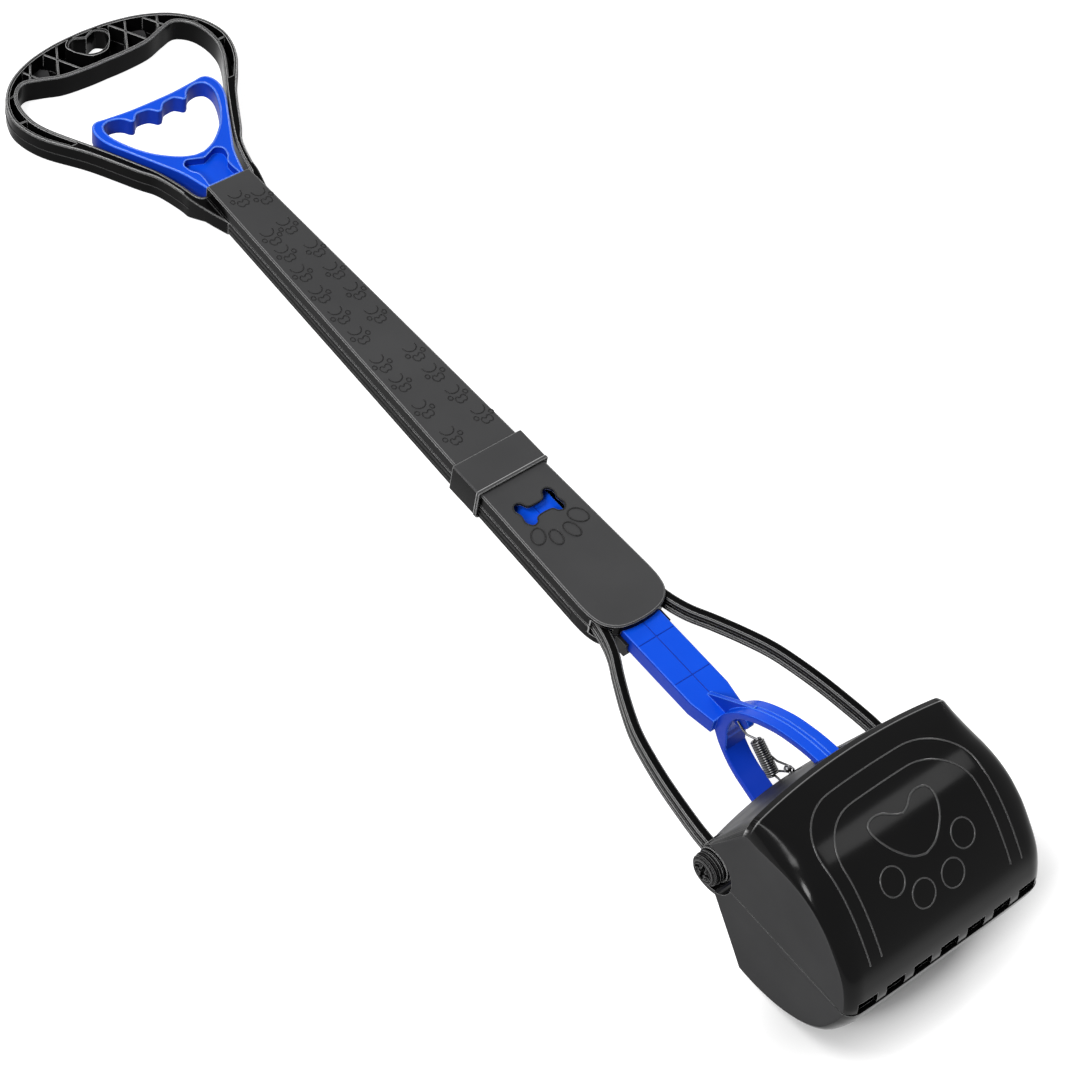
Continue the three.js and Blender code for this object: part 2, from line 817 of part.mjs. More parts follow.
// Radial slot for a link pin, cut through a pair of lugs
function pinSlot(pin, low, high) {
  const angle = Math.atan2(pin.z, pin.y);
  const r = PIN_R + 0.45;
  const outline = [low, high].flatMap((d, i) =>
    Array.from({ length: 9 }, (_, k) => {
      const a = angle + ((i ? -1 : 1) * Math.PI) / 2 + (k * Math.PI) / 8;
      return [
        PIVOT.y + d * Math.cos(angle) + r * Math.cos(a),
        PIVOT.z + d * Math.sin(angle) + r * Math.sin(a),
      ];
    }),
  );
  return slab(outline, -12, 12);
}

function lugPair(points) {
  const moved = points.map(([y, z]) => [PIVOT.y + y, PIVOT.z + z]);
  return [slab(moved, 7.2, 9.9), slab(moved, -9.9, -7.2)];
}

function sector(low, high, from, to) {
  return slab([...turnOf(low, from, to, 8), ...turnOf(high, to, from, 8)], -SLOT_HALF, SLOT_HALF);
}

function frontJaw() {
  const { outer, shell } = jawShell(frontSection);
  const body = cheeks(outer, shell, 48.9, 2.5, 10.6);
  const lugs = lugPair([
    [1.9, 33.5],
    [-4, 46.8],
    [-12, 46.8],
    [-16, 43],
    [-16, 38],
    [-11, 33.5],
  ]);
  const passage = box(-7.15, 7.15, PIVOT.y - 7, PIVOT.y + 6, PIVOT.z + 36.2, PIVOT.z + 49.4);
  const teeth = [-3, -2, -1, 0, 1, 2, 3].map((k) =>
    box(k * 17.1 - 5.8, k * 17.1 + 5.8, -575, -556, PART_Z - 2, PART_Z + 7),
  );
  return cut(
    join(body, ...lugs),
    passage,
    pinSlot(FRONT_PIN, 39.4, 42.8),
    sector(8, 30, -30, 62),
    across(BORE_R, -70, 70, PIVOT.y, PIVOT.z),
    ...teeth,
  );
}

function rearJaw() {
  const { outer, shell } = jawShell(rearSection);
  const body = cheeks(outer, shell, 46.2, 2.4, 8.6);
  const lugs = lugPair([
    [-3, -34],
    [-1.5, -40],
    [-4.5, -45.5],
    [-12, -47.5],
    [-31, -45.6],
    [-24, -36],
    [-15, -27],
    [-9, -30],
  ]);
  return cut(
    join(body, ...lugs),
    pinSlot(REAR_PIN, 37.9, 41),
    sector(6, 30, 14, -70),
    across(BORE_R, -70, 70, PIVOT.y, PIVOT.z),
  );
}

// Small parts on the pivot
function pivotScrew(side) {
  const at = (a, b) => (side > 0 ? [a, b] : [-b, -a]);
  const head = across(8.9, ...at(62.3, 67.2), PIVOT.y, PIVOT.z, 32);
  const shank = across(1.6, ...at(50.5, 62.6), PIVOT.y, PIVOT.z, 16);
  const slots = [
    box(...at(65, 70), PIVOT.y - 5.4, PIVOT.y + 5.4, PIVOT.z - 1.2, PIVOT.z + 1.2),
    box(...at(65, 70), PIVOT.y - 1.2, PIVOT.y + 1.2, PIVOT.z - 5.4, PIVOT.z + 5.4),
  ];
  return cut(head.add(shank), ...slots);
}

function washer(side, a, b, radius) {
  const [x0, x1] = side > 0 ? [a, b] : [-b, -a];
  const ring = across(radius, x0, x1, PIVOT.y, PIVOT.z, 28);
  return ring.subtract(across(1.9, x0 - 1, x1 + 1, PIVOT.y, PIVOT.z, 16));
}

function axle() {
  const rod = across(AXLE_R, -58.2, 58.2, PIVOT.y, PIVOT.z);
  return cut(
    rod,
    across(1.9, 50, 59, PIVOT.y, PIVOT.z, 16),
    across(1.9, -59, -50, PIVOT.y, PIVOT.z, 16),
  );
}

// Stud on the axle that stands out of the ridge and ends in a round head
function springPin() {
  const [y0, z0] = about(AXLE_R + 0.3, 20.8);
  const [y1, z1] = about(18, 20.8);
  const stem = new THREE.CylinderGeometry(0.8, 0.8, Math.hypot(y1 - y0, z1 - z0), 10);
  stem.rotateX(Math.atan2(z1 - z0, y1 - y0)).translate(0, (y0 + y1) / 2, (z0 + z1) / 2);
  const head = new THREE.SphereGeometry(1.9, 10, 7).translate(0, y1, z1);
  return solid(stem).add(solid(head));
}

// Return spring: straight wire from the hook, open coils, straight wire to the axle, all one line
function springLine() {
  const from = new THREE.Vector3(0, -431.7, -3.4);
  const to = new THREE.Vector3(0, -447.3, -14.4);
  const axis = to.clone().sub(from).normalize();
  const side = new THREE.Vector3(1, 0, 0);
  const up = axis.clone().cross(side);
  const hook = new THREE.Vector3(0, -425.7, -1.9);
  const centre = new THREE.Vector3(0, PIVOT.y, PIVOT.z);
  const last = centre.clone().sub(to).normalize();
  const foot = centre.clone().addScaledVector(last, -(AXLE_R + GAP));
  const points = [hook, new THREE.Vector3(0, -427.2, -2.4)];
  const steps = CURLS * 8;
  for (let i = 0; i <= steps; i++) {
    const t = i / steps;
    const turn = t * CURLS * 2 * Math.PI;
    const radius = COIL_R * Math.min(1, 0.3 + i / 4, 0.3 + (steps - i) / 4);
    const on = from.clone().lerp(to, t);
    on.addScaledVector(side, radius * Math.sin(turn)).addScaledVector(up, radius * Math.cos(turn));
    points.push(on);
  }
  points.push(to.clone().lerp(foot, 0.25), foot.clone().addScaledVector(last, -1.2), foot);
  return points;
}

// A round tube along a line of points, with square ends
function tube(points, radius, sides) {
  const rings = [];
  let normal = new THREE.Vector3(0, 0.3, 1);
  points.forEach((p, i) => {
    const before = points[Math.max(0, i - 1)];
    const after = points[Math.min(points.length - 1, i + 1)];
    const along = after.clone().sub(before).normalize();
    normal = normal.clone().addScaledVector(along, -normal.dot(along)).normalize();
    const other = along.clone().cross(normal);
    for (let k = 0; k < sides; k++) {
      const a = (k / sides) * 2 * Math.PI;
      const out = normal.clone().multiplyScalar(radius * Math.cos(a));
      rings.push(p.clone().add(out.addScaledVector(other, radius * Math.sin(a))));
    }
  });
  const index = [];
  for (let i = 0; i + 1 < points.length; i++) {
    for (let k = 0; k < sides; k++) {
      const a = i * sides + k;
      const b = i * sides + ((k + 1) % sides);
      index.push(a, b, b + sides, a, b + sides, a + sides);
    }
  }
  const end = (points.length - 1) * sides;
  for (let k = 1; k + 1 < sides; k++) index.push(0, k + 1, k, end, end + k, end + k + 1);
  const g = new THREE.BufferGeometry();
  g.setAttribute("position", new THREE.Float32BufferAttribute(rings.flatMap((r) => r.toArray()), 3));
  g.setIndex(index);
  return g;
}

// The smallest free space between one stretch of the wire and another
function selfGap(points, radius, apart) {
  let least = Infinity;
  for (let i = 0; i < points.length; i++) {
    for (let j = i + apart; j < points.length; j++) {
      least = Math.min(least, points[i].distanceTo(points[j]) - 2 * radius);
    }
  }
  return least;
}

const WIRE_LINE = springLine();
console.log("spring self-gap " + selfGap(WIRE_LINE, WIRE, 6).toFixed(2) + " mm");

// The whole tool, body by body
const upperPole = group(
  "upper_pole",
  mesh("upper_front_cover", upperCover(), GREY),
  mesh("handle_frame", handleFrame(), BLACK),
  ...coverScrews(UPPER_SCREWS, "upper_cover_screw"),
);
const lowerPole = group(
  "lower_pole",
  mesh("lower_front_cover", lowerCover(), GREY),
  mesh("lower_rear_shell", lowerShell(), BLACK),
  mesh("left_fork_arm", forkArm(-1), BLACK),
  mesh("right_fork_arm", forkArm(1), BLACK),
  mesh("fold_hinge_pin", across(1.1, -12.4, 12.4, FOLD_Y, BACK, 16), STEEL),
  mesh("pivot_axle", axle(), STEEL),
  mesh("left_pivot_screw", pivotScrew(-1), BLACK),
  mesh("right_pivot_screw", pivotScrew(1), BLACK),
  mesh("left_outer_washer", washer(-1, 60.5, 62, 8.3), BLACK),
  mesh("right_outer_washer", washer(1, 60.5, 62, 8.3), BLACK),
  mesh("left_inner_washer", washer(-1, 58.6, 60.2, 9.3), BLACK),
  mesh("right_inner_washer", washer(1, 58.6, 60.2, 9.3), BLACK),
  mesh("spring_pin", springPin(), STEEL),
  mesh("return_spring", solid(tube(WIRE_LINE, WIRE, 5)), STEEL),
  ...coverScrews(LOWER_SCREWS, "lower_cover_screw"),
);
const linkPin = (p) => across(PIN_R, -10.4, 10.4, PIVOT.y + p.y, PIVOT.z + p.z, 20);
const lift = group(
  "pull_fork_body",
  mesh("pull_fork", pullFork(), BLUE),
  mesh("front_link_pin", linkPin(FRONT_PIN), STEEL),
  mesh("rear_link_pin", linkPin(REAR_PIN), STEEL),
);
const tool = group(
  "pooper_scooper",
  upperPole,
  group("collar_body", mesh("collar", collar(), GREY)),
  group("trigger_body", mesh("trigger_handle", trigger(), BLUE)),
  lowerPole,
  lift,
  group("front_jaw_body", mesh("front_jaw", frontJaw(), BLACK)),
  group("rear_jaw_body", mesh("rear_jaw", rearJaw(), BLACK)),
);

// Laid on its back: the grip's far end and the rear jaw's back both touch the ground
const JAW_REST = [-503, -57.6];
const GRIP_REST = [143, RING.back];
const tilt = Math.atan2(GRIP_REST[1] - JAW_REST[1], GRIP_REST[0] - JAW_REST[0]);
tool.rotation.x = -tilt;
const laid = group("laid_down", tool);
laid.updateMatrixWorld(true);
const bounds = new THREE.Box3().setFromObject(laid, true);
laid.position.set(0, -(bounds.min.y + bounds.max.y) / 2, -bounds.min.z);
const root = group("part", laid);
export default root;
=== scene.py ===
"""Looks of the pooper scooper: moulded pieces, materials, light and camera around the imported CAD."""
import math

import bmesh
import bpy
import numpy as np
from mathutils import Euler, Matrix, Vector


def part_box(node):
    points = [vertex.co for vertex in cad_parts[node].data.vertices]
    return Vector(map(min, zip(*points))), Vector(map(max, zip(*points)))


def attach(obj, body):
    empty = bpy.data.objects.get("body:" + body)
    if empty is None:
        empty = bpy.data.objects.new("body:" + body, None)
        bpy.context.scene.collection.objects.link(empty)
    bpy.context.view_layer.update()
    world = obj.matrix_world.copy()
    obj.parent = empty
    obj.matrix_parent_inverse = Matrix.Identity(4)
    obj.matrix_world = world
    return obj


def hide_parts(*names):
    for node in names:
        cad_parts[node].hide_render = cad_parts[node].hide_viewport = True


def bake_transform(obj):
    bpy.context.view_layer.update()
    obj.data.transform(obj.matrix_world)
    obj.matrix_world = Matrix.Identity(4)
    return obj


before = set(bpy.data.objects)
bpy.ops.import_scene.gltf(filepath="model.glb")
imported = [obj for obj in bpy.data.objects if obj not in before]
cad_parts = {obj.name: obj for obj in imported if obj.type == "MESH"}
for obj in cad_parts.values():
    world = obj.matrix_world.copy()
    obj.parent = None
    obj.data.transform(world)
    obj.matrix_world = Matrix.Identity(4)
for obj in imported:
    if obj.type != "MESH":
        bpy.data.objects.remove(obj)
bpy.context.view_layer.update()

# The tool's own frame in millimetres: x across, y towards the grip, z out of the front cover.
# It lies on its back, tilted about x; the pivot axle shows where that frame is.
MM = 0.001
TILT = math.atan2(35.6, 646)
PIVOT = (-470, -7.5)
PIVOT_Y, PIVOT_Z = PIVOT
axle_low, axle_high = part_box("pivot_axle")
TURN = Matrix.Rotation(-TILT, 4, "X")
OFFSET = (axle_low + axle_high) / 2 - TURN @ (Vector((0, PIVOT_Y, PIVOT_Z)) * MM)
TOOL = Matrix.Translation(OFFSET) @ TURN @ Matrix.Scale(MM, 4)

# Sizes shared with the CAD
FRONT, BACK, SEAM, GAP = 0, -16.6, -7.7, 0.3
SKIN, WALL = 2, 1.3
FOLD_Y, TIP_Y = -241.6, -349
JAW_HALF = 62.4
SHELL, BARREL_WALL, PART_Z = 2.4, 1.8, -8.5
RIM_Y, RIM_Z, RIM_DROP = -475, 44, 0.00146
AXLE_R, BORE_R = 2.5, 2.58
HINGE = (FOLD_Y, BACK)
UPPER_SCREWS = [(10.3, -36), (13.6, -196)]
LOWER_SCREWS = [(16.2, -258), (16.6, -288)]
BAR_FRONT, BAR_BACK, BAR_HALF, ROD_HALF = -4.9, -14.2, 12, 6.2


# Shader nodes
def nodes_of(name):
    material = bpy.data.materials.new(name)
    material.use_nodes = True
    tree = material.node_tree
    return material, tree, tree.nodes["Principled BSDF"]


def feed(tree, node, inputs):
    """Sets a node's inputs to plain values or links them to sockets."""
    for key, value in inputs.items():
        if isinstance(value, (int, float, tuple)):
            node.inputs[key].default_value = value
        else:
            tree.links.new(value, node.inputs[key])


def added(tree, kind, inputs):
    made = tree.nodes.new("ShaderNode" + kind)
    feed(tree, made, inputs)
    return made


def place_of(tree):
    return added(tree, "TexCoord", {}).outputs["Object"]


def noise(tree, scale, detail=3.0):
    made = added(tree, "TexNoise", {"Vector": place_of(tree), "Scale": scale, "Detail": detail})
    return made.outputs["Fac"]


def mottled(tree, scale, detail=3.0, low=0, high=1):
    return remap(tree, noise(tree, scale, detail), NOISE_SPAN, (low, high))


def remap(tree, source, start=(0, 1), end=(0, 1)):
    """Carries the range start over to the range end, held at both ends."""
    spans = {"From Min": start[0], "From Max": start[1], "To Min": end[0], "To Max": end[1]}
    return added(tree, "MapRange", {"Value": source, **spans}).outputs["Result"]


def computed(tree, operation, first, second, kind="Math"):
    made = added(tree, kind, {0: first, 1: second})
    made.operation = operation
    return made


def bumped(tree, source, height, before):
    return added(tree, "Bump", {"Height": source, "Distance": height, **before}).outputs["Normal"]


def mixed(tree, factor, a, b):
    made = added(tree, "Mix", {})
    made.data_type = "RGBA"
    first, second = [i for i, s in enumerate(made.inputs) if s.type == "RGBA"]
    feed(tree, made, {"Factor": factor, first: a, second: b})
    return next(s for s in made.outputs if s.type == "RGBA")


def tint(tone):
    """A colour: one number is a grey, two are a grey and its own blue, three are red, green and blue."""
    parts = tone if isinstance(tone, tuple) else (tone, tone)
    return (parts[0], parts[-2], parts[-1], 1)


# Materials
# Scales of the noises, per metre
MOTTLE, SHEEN, WAVE, METAL_SHEEN, METAL_GRAIN = 22, 60, 14, 400, 900
NOISE_SPAN = (0.3, 0.7)
# The painted edge highlight grows over these spans: the agreement of rounded and true normal, and how open
# the place lies.
BENT, OPEN = (0.995, 0.93), (0.6, 0.85)
EDGE_REACH = 0.003


def highlight_on_edges(tree, rounded):
    """1 on the outward edges, where a highlight is painted, and 0 on flats and in corners."""
    flat = added(tree, "NewGeometry", {}).outputs["True Normal"]
    turn = computed(tree, "DOT_PRODUCT", rounded, flat, "VectorMath").outputs["Value"]
    opening = added(tree, "AmbientOcclusion", {"Distance": EDGE_REACH})
    opening.samples = 4
    bent, is_open = remap(tree, turn, BENT), remap(tree, opening.outputs["AO"], OPEN)
    return computed(tree, "MULTIPLY", bent, is_open).outputs[0]


def plastic(name, dark, light, edge_highlight, roughness, specular=0.1, grain=1500, height=8e-6, wave=0, edge=6e-4):
    """Moulded plastic: two tones mottled together, a painted highlight on the outward edges, uneven gloss, a
    fine grain and a slow wave.
    """
    material, tree, shader = nodes_of(name)
    soft = added(tree, "Bevel", {"Radius": edge})
    soft.samples = 6
    rounded = soft.outputs["Normal"]
    tone = mixed(tree, mottled(tree, MOTTLE), tint(dark), tint(light))
    before = {"Normal": rounded}
    if wave:
        before = {"Normal": bumped(tree, noise(tree, WAVE, 1), wave, before)}
    feed(tree, shader, {
        # The edge colour is a painted highlight along the outward edges.
        "Base Color": mixed(tree, highlight_on_edges(tree, rounded), tone, tint(edge_highlight)),
        "Roughness": mottled(tree, SHEEN, 4, roughness * 0.88, roughness * 1.12),
        "Specular IOR Level": specular,
        "Normal": bumped(tree, noise(tree, grain, 2), height, before),
    })
    return material


def metal(name, tone, roughness):
    material, tree, shader = nodes_of(name)
    feed(tree, shader, {
        "Base Color": tint(tone),
        "Metallic": 1.0,
        "Roughness": mottled(tree, METAL_SHEEN, 4, roughness * 0.75, roughness * 1.3),
        "Normal": bumped(tree, noise(tree, METAL_GRAIN, 2), 2e-5, {}),
    })
    return material


# The third colour of each plastic is its painted edge highlight.
GLOSS = plastic("gloss_black", (0.001, 0.0011), (0.002, 0.0021), 0.3, 0.15, 0.1, 1500, 4e-6, 2.5e-4, 4e-4)
BLACK = plastic("satin_black", (0.0015, 0.0016), (0.003, 0.0031), 0.5, 0.24, 0.03, edge=8e-4)
MATT = plastic("matt_black", (0.045, 0.046), (0.054, 0.055), 0.16, 0.5, 0.0, 2600, 1e-5)
GREY = plastic("matt_grey", (0.042, 0.043), (0.05, 0.051), 0.34, 0.5, 0.1, 2600, 2e-5)
# Dull near-black: on black parts it is their own dull black, on the grey covers' raised lines it is painted
# shade.
DULL_BLACK_AND_RELIEF_SHADE = plastic("dull_black_and_relief_shade", (0.004, 0.0042), (0.007, 0.0072), 0.09, 0.45, 0.1, 2600, 1e-5, edge=5e-4)
BLUE = plastic("satin_blue", (0.003, 0.066, 0.62), (0.004, 0.078, 0.7), (0.16, 0.4, 0.95), 0.24, edge=8e-4)
# A darker copy of the blue: painted shade on the strap arch's inside, the pull fork's sides, the trigger's
# walls and the bar's score lines.
SHADE_BLUE = plastic("painted_shade_blue", (0.002, 0.03, 0.36), (0.003, 0.036, 0.42), (0.003, 0.036, 0.42), 0.4)
LINE = plastic("gloss_line", (0.003, 0.0032), (0.005, 0.0052), 0.26, 0.15, 0.3, height=4e-6, edge=4e-4)
# A lighter copy of the black plastic: painted highlight along the grip ring's rims.
RIM_HIGHLIGHT_BLACK = plastic("rim_highlight_black", (0.012, 0.0122), (0.02, 0.0205), 0.7, 0.22, 0.5, height=4e-6)
# A lighter copy of the blue: painted highlight along the trigger's rims.
RIM_HIGHLIGHT_BLUE = plastic("rim_highlight_blue", (0.008, 0.09, 0.7), (0.01, 0.1, 0.76), (0.3, 0.55, 1.0), 0.22, 0.5, height=4e-6)
PAINT = plastic("painted_black", (0.003, 0.0032), (0.006, 0.0062), 0.22, 0.3, 0.02, 900, 1e-5, edge=4e-4)
SPRING = metal("spring_steel", (0.1, 0.103), 0.28)
STEEL = metal("dark_steel", (0.12, 0.125), 0.32)
SCREW = metal("blackened_steel", (0.03, 0.032), 0.4)


# Lines and outlines in a plane
def smooth(points, count):
    """Catmull-Rom line through the points, as the CAD draws it."""
    pts = np.array(points, float)
    last = len(pts) - 1
    out = []
    for k in range(count + 1):
        at = last * k / count
        i = min(int(at), last - 1) if k == count else int(at)
        w = at - i
        p0, p1 = pts[max(i - 1, 0)], pts[i]
        p2, p3 = pts[min(i + 1, last)], pts[min(i + 2, last)]
        v0, v1 = (p2 - p0) / 2, (p3 - p1) / 2
        out.append((2 * p1 - 2 * p2 + v0 + v1) * w**3 + (-3 * p1 + 3 * p2 - 2 * v0 - v1) * w**2 + v0 * w + p1)
    return np.array(out)


def along(line):
    """The length of the line up to each of its points."""
    steps = np.linalg.norm(np.diff(np.array(line, float), axis=0), axis=1)
    return np.concatenate([[0], np.cumsum(steps)])


def evenly(points, step, closed=False):
    """The line's points again at equal steps."""
    pts = np.array([*points, points[0]] if closed else points, float)
    length = along(pts)
    count = max(6, round(length[-1] / step))
    at = np.linspace(0, length[-1], count + 1)[: count if closed else count + 1]
    return [(float(np.interp(a, length, pts[:, 0])), float(np.interp(a, length, pts[:, 1]))) for a in at]


def flip(points):
    return [(-x, y) for x, y in points]


def mirrored(half):
    """A half outline and its mirror image, as one closed loop."""
    loop = [tuple(p) for p in half] + flip(half)[::-1]
    return [p for i, p in enumerate(loop) if math.dist(p, loop[i - 1]) > 1e-3]


def ellipse(x, y, rx, ry, turn=0.0, count=40):
    c, s = math.cos(math.radians(turn)), math.sin(math.radians(turn))
    spots = [(rx * math.cos(a), ry * math.sin(a)) for a in full_turn(count)]
    return [(x + c * u - s * v, y + s * u + c * v) for u, v in spots]


def full_turn(count):
    return [2 * math.pi * k / count for k in range(count)]


def left_of(line, closed=False):
    """For each point of a line, the unit vector to its left."""
    last = len(line) - 1
    found = []
    for i in range(last + 1):
        ax, ay = line[i - 1 if closed else max(0, i - 1)]
        bx, by = line[(i + 1) % (last + 1) if closed else min(last, i + 1)]
        length = math.hypot(bx - ax, by - ay) or 1
        found.append((-(by - ay) / length, (bx - ax) / length))
    return found


def moved(line, by, closed=False):
    """A line moved to its left; by is one distance or a list with one for each point."""
    distances = by if isinstance(by, list) else [by] * len(line)
    return [(x + d * u, y + d * v) for (x, y), (u, v), d in zip(line, left_of(line, closed), distances)]


def shrunk(loop, by):
    """An outline moved inwards."""
    area = sum(loop[i - 1][0] * loop[i][1] - loop[i][0] * loop[i - 1][1] for i in range(len(loop)))
    return moved(loop, by if area > 0 else -by, True)


def band(points, half):
    """Both sides of a line, as one closed outline."""
    return moved(points, half) + moved(points, -half)[::-1]


def about(radius, degrees, centre=PIVOT):
    """A point in y and z on a circle."""
    a = math.radians(degrees)
    return (centre[0] + radius * math.cos(a), centre[1] + radius * math.sin(a))


def turn_of(radius, start, end, steps, centre=PIVOT):
    return [about(radius, start + (end - start) * i / steps, centre) for i in range(steps + 1)]


def across_line(line, away):
    """For each point of a line, the unit vector across it that points the way of away(point)."""
    found = {}
    for point, (u, v) in zip(line, left_of(line)):
        a, b = away(*point)
        sign = 1 if u * a + v * b > 0 else -1
        found[point] = (sign * u, sign * v)
    return found


# Building blocks, in the tool's millimetres
def link(name, data):
    thing = bpy.data.objects.new(name, data)
    bpy.context.scene.collection.objects.link(thing)
    return thing


def evaluated(thing):
    """The object's shape with its modifiers, or its curve, as a plain mesh."""
    graph = bpy.context.evaluated_depsgraph_get()
    graph.update()
    return bpy.data.meshes.new_from_object(thing.evaluated_get(graph), depsgraph=graph)


def faced_out(mesh, weld=False):
    """Turns every face outwards; weld first merges points that lie together."""
    work = bmesh.new()
    work.from_mesh(mesh)
    if weld:
        bmesh.ops.remove_doubles(work, verts=work.verts, dist=1e-4)
    bmesh.ops.recalc_face_normals(work, faces=work.faces)
    work.to_mesh(mesh)
    work.free()
    return mesh


def from_points(name, verts, faces):
    mesh = bpy.data.meshes.new(name)
    mesh.from_pydata([tuple(map(float, v)) for v in verts], [], faces)
    return link(name, faced_out(mesh))


def boolean(base, tools, how):
    for tool in tools:
        step = base.modifiers.new(how, "BOOLEAN")
        step.operation, step.solver, step.object = how, "MANIFOLD", tool
    mesh = evaluated(base)
    base.modifiers.clear()
    base.data = mesh
    for tool in tools:
        bpy.data.objects.remove(tool)
    return base


def cut(base, *tools):
    return boolean(base, tools, "DIFFERENCE")


def join(base, *tools):
    return boolean(base, tools, "UNION")


def keep(base, *tools):
    return boolean(base, tools, "INTERSECT")


def plate(name, loops, z0, z1, soft=0.4, steps=3):
    """Flat outlines (the later ones are holes) raised from z0 to z1, with rounded edges."""
    data = bpy.data.curves.new(name, "CURVE")
    data.dimensions, data.fill_mode = "2D", "BOTH"
    for loop in loops:
        spline = data.splines.new("POLY")
        spline.points.add(len(loop) - 1)
        spline.points.foreach_set("co", [v for x, y in loop for v in (x, y, 0, 1)])
        spline.use_cyclic_u = True
    data.extrude = (z1 - z0) / 2 - soft
    data.bevel_depth, data.bevel_resolution, data.offset = soft, steps - 1, -soft
    thing = link(name, data)
    mesh = evaluated(thing)
    bpy.data.objects.remove(thing)
    mesh.transform(Matrix.Translation((0, 0, (z0 + z1) / 2)))
    return link(name, faced_out(mesh, True))


ACROSS = Matrix(((0, 0, 1, 0), (1, 0, 0, 0), (0, 1, 0, 0), (0, 0, 0, 1)))


def slab(name, outline, x0, x1, soft=0.3, steps=2):
    """Outline in y and z, carried across from x0 to x1."""
    thing = plate(name, [[tuple(p) for p in outline]], x0, x1, soft, steps)
    thing.data.transform(ACROSS)
    return thing


def box(name, x0, x1, y0, y1, z0, z1):
    corners = [(x, y, z) for x in (x0, x1) for y in (y0, y1) for z in (z0, z1)]
    faces = [(0, 1, 3, 2), (4, 6, 7, 5), (0, 4, 5, 1), (2, 3, 7, 6), (0, 2, 6, 4), (1, 5, 7, 3)]
    return from_points(name, corners, faces)


def sweep(name, rings, closed=False):
    """A skin over rings of points; the line of rings may close on itself, or else its ends are capped."""
    count = len(rings[0])
    verts = [p for ring in rings for p in ring]
    faces = []
    for s in range(len(rings) if closed else len(rings) - 1):
        for i in range(count):
            a, b = s * count + i, s * count + (i + 1) % count
            up = ((s + 1) % len(rings) - s) * count
            faces.append((a, b, b + up, a + up))
    if not closed:
        faces.append(tuple(range(count))[::-1])
        faces.append(tuple(range((len(rings) - 1) * count, len(rings) * count)))
    return from_points(name, verts, faces)


def turned(name, profile, y, z, sides=64):
    """A profile of (x, radius) turned about an axis across the tool."""
    spins = [(math.cos(a), math.sin(a)) for a in full_turn(sides)]
    return sweep(name, [[(x, y + r * c, z + r * s) for c, s in spins] for x, r in profile])


def disc(name, radius, x0, x1, y=PIVOT_Y, z=PIVOT_Z, soft=0.0, sides=64):
    """Round bar across the tool, its ends rounded over by soft."""
    if not soft:
        return turned(name, [(x0, radius), (x1, radius)], y, z, sides)
    turns = [math.radians(a) for a in (0, 22, 45, 67, 90)]
    ends = [(soft * (1 - math.sin(a)), radius - soft * (1 - math.cos(a))) for a in turns]
    low = [(x0 + u, r) for u, r in reversed(ends)]
    return turned(name, low + [(x1 - u, r) for u, r in ends], y, z, sides)


def two_sided(make, name, shape, x0, x1, *rest, **more):
    """The same disc or slab on both sides, x0 to x1 from the middle."""
    return [make(name, shape, *ends, *rest, **more) for ends in ((x0, x1), (-x1, -x0))]


POST_SIDES = 32


def stood(thing, x, y):
    """Stands a piece that was made along x upright."""
    thing.data.transform(Matrix.Translation((x, y, 0)) @ Matrix.Rotation(-math.pi / 2, 4, "Y"))
    return thing


def post(name, radius, x, y, z0, z1):
    return stood(turned(name, [(z0, radius), (z1, radius)], 0, 0, POST_SIDES), x, y)


def merged(name, things):
    """Several loose solids as one piece."""
    work = bmesh.new()
    for thing in things:
        work.from_mesh(thing.data)
        bpy.data.objects.remove(thing)
    mesh = bpy.data.meshes.new(name)
    work.to_mesh(mesh)
    work.free()
    return link(name, mesh)


def unit(v):
    return v / np.linalg.norm(v)


# Cross-section of a ridge: places across it and heights, each as a share of its size
RIDGE = [(-1, -1.2), (-1, 0), (-0.8, 0.6), (-0.4, 0.92), (0, 1), (0.4, 0.92), (0.8, 0.6), (1, 0), (1, -1.2)]


def ridge(line, closed, place, normal, half, height):
    """A low rounded ridge along a line drawn on a surface."""
    at = [place(*p) for p in line]
    rings = []
    for i, p in enumerate(at):
        before = at[i - 1] if closed or i else at[0]
        after = at[(i + 1) % len(at)] if closed or i + 1 < len(at) else at[-1]
        n = normal(*line[i])
        side = unit(np.cross(n, after - before))
        rings.append([p + side * (half * a) + n * (height * b) for a, b in RIDGE])
    return sweep("line", rings, closed)


def flat_ridge(line, closed, half=0.42, height=0.22, z=FRONT):
    """A low ridge on a flat front face."""
    up = np.array([0, 0, 1.0])
    return ridge(line, closed, lambda x, y: np.array([x, y, z]), lambda x, y: up, half, height)


def dress(thing, material, body, *nodes, angle=32, slot=None, also=()):
    """Puts a finished piece into the row frame: smooth normals, materials, body and its CAD nodes, which it
    hides. The slot argument is not used.

    also holds (material, rule) pairs: faces whose centre and normal, in the tool's frame, meet the rule
    take that material. A body given as (first, second, start, end) is not attached: the piece stays in place
    on no body.
    """
    mesh = thing.data
    mesh.materials.clear()
    work = bmesh.new()
    work.from_mesh(mesh)
    bmesh.ops.dissolve_degenerate(work, edges=work.edges, dist=1e-4)
    for face in work.faces:
        face.smooth, face.material_index = True, 0
        for i, (_, rule) in enumerate(also):
            if rule(face.calc_center_median(), face.normal):
                face.material_index = i + 1
    for edge in work.edges:
        edge.smooth = len(edge.link_faces) == 2 and edge.calc_face_angle(0) < math.radians(angle)
    work.to_mesh(mesh)
    work.free()
    mesh.transform(TOOL)
    for look in (material, *(look for look, _ in also)):
        mesh.materials.append(look)
    step = thing.modifiers.new("normals", "WEIGHTED_NORMAL")
    step.keep_sharp = True
    if isinstance(body, tuple):
        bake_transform(thing)
    else:
        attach(thing, body)
    if nodes:
        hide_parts(*nodes)
    return thing


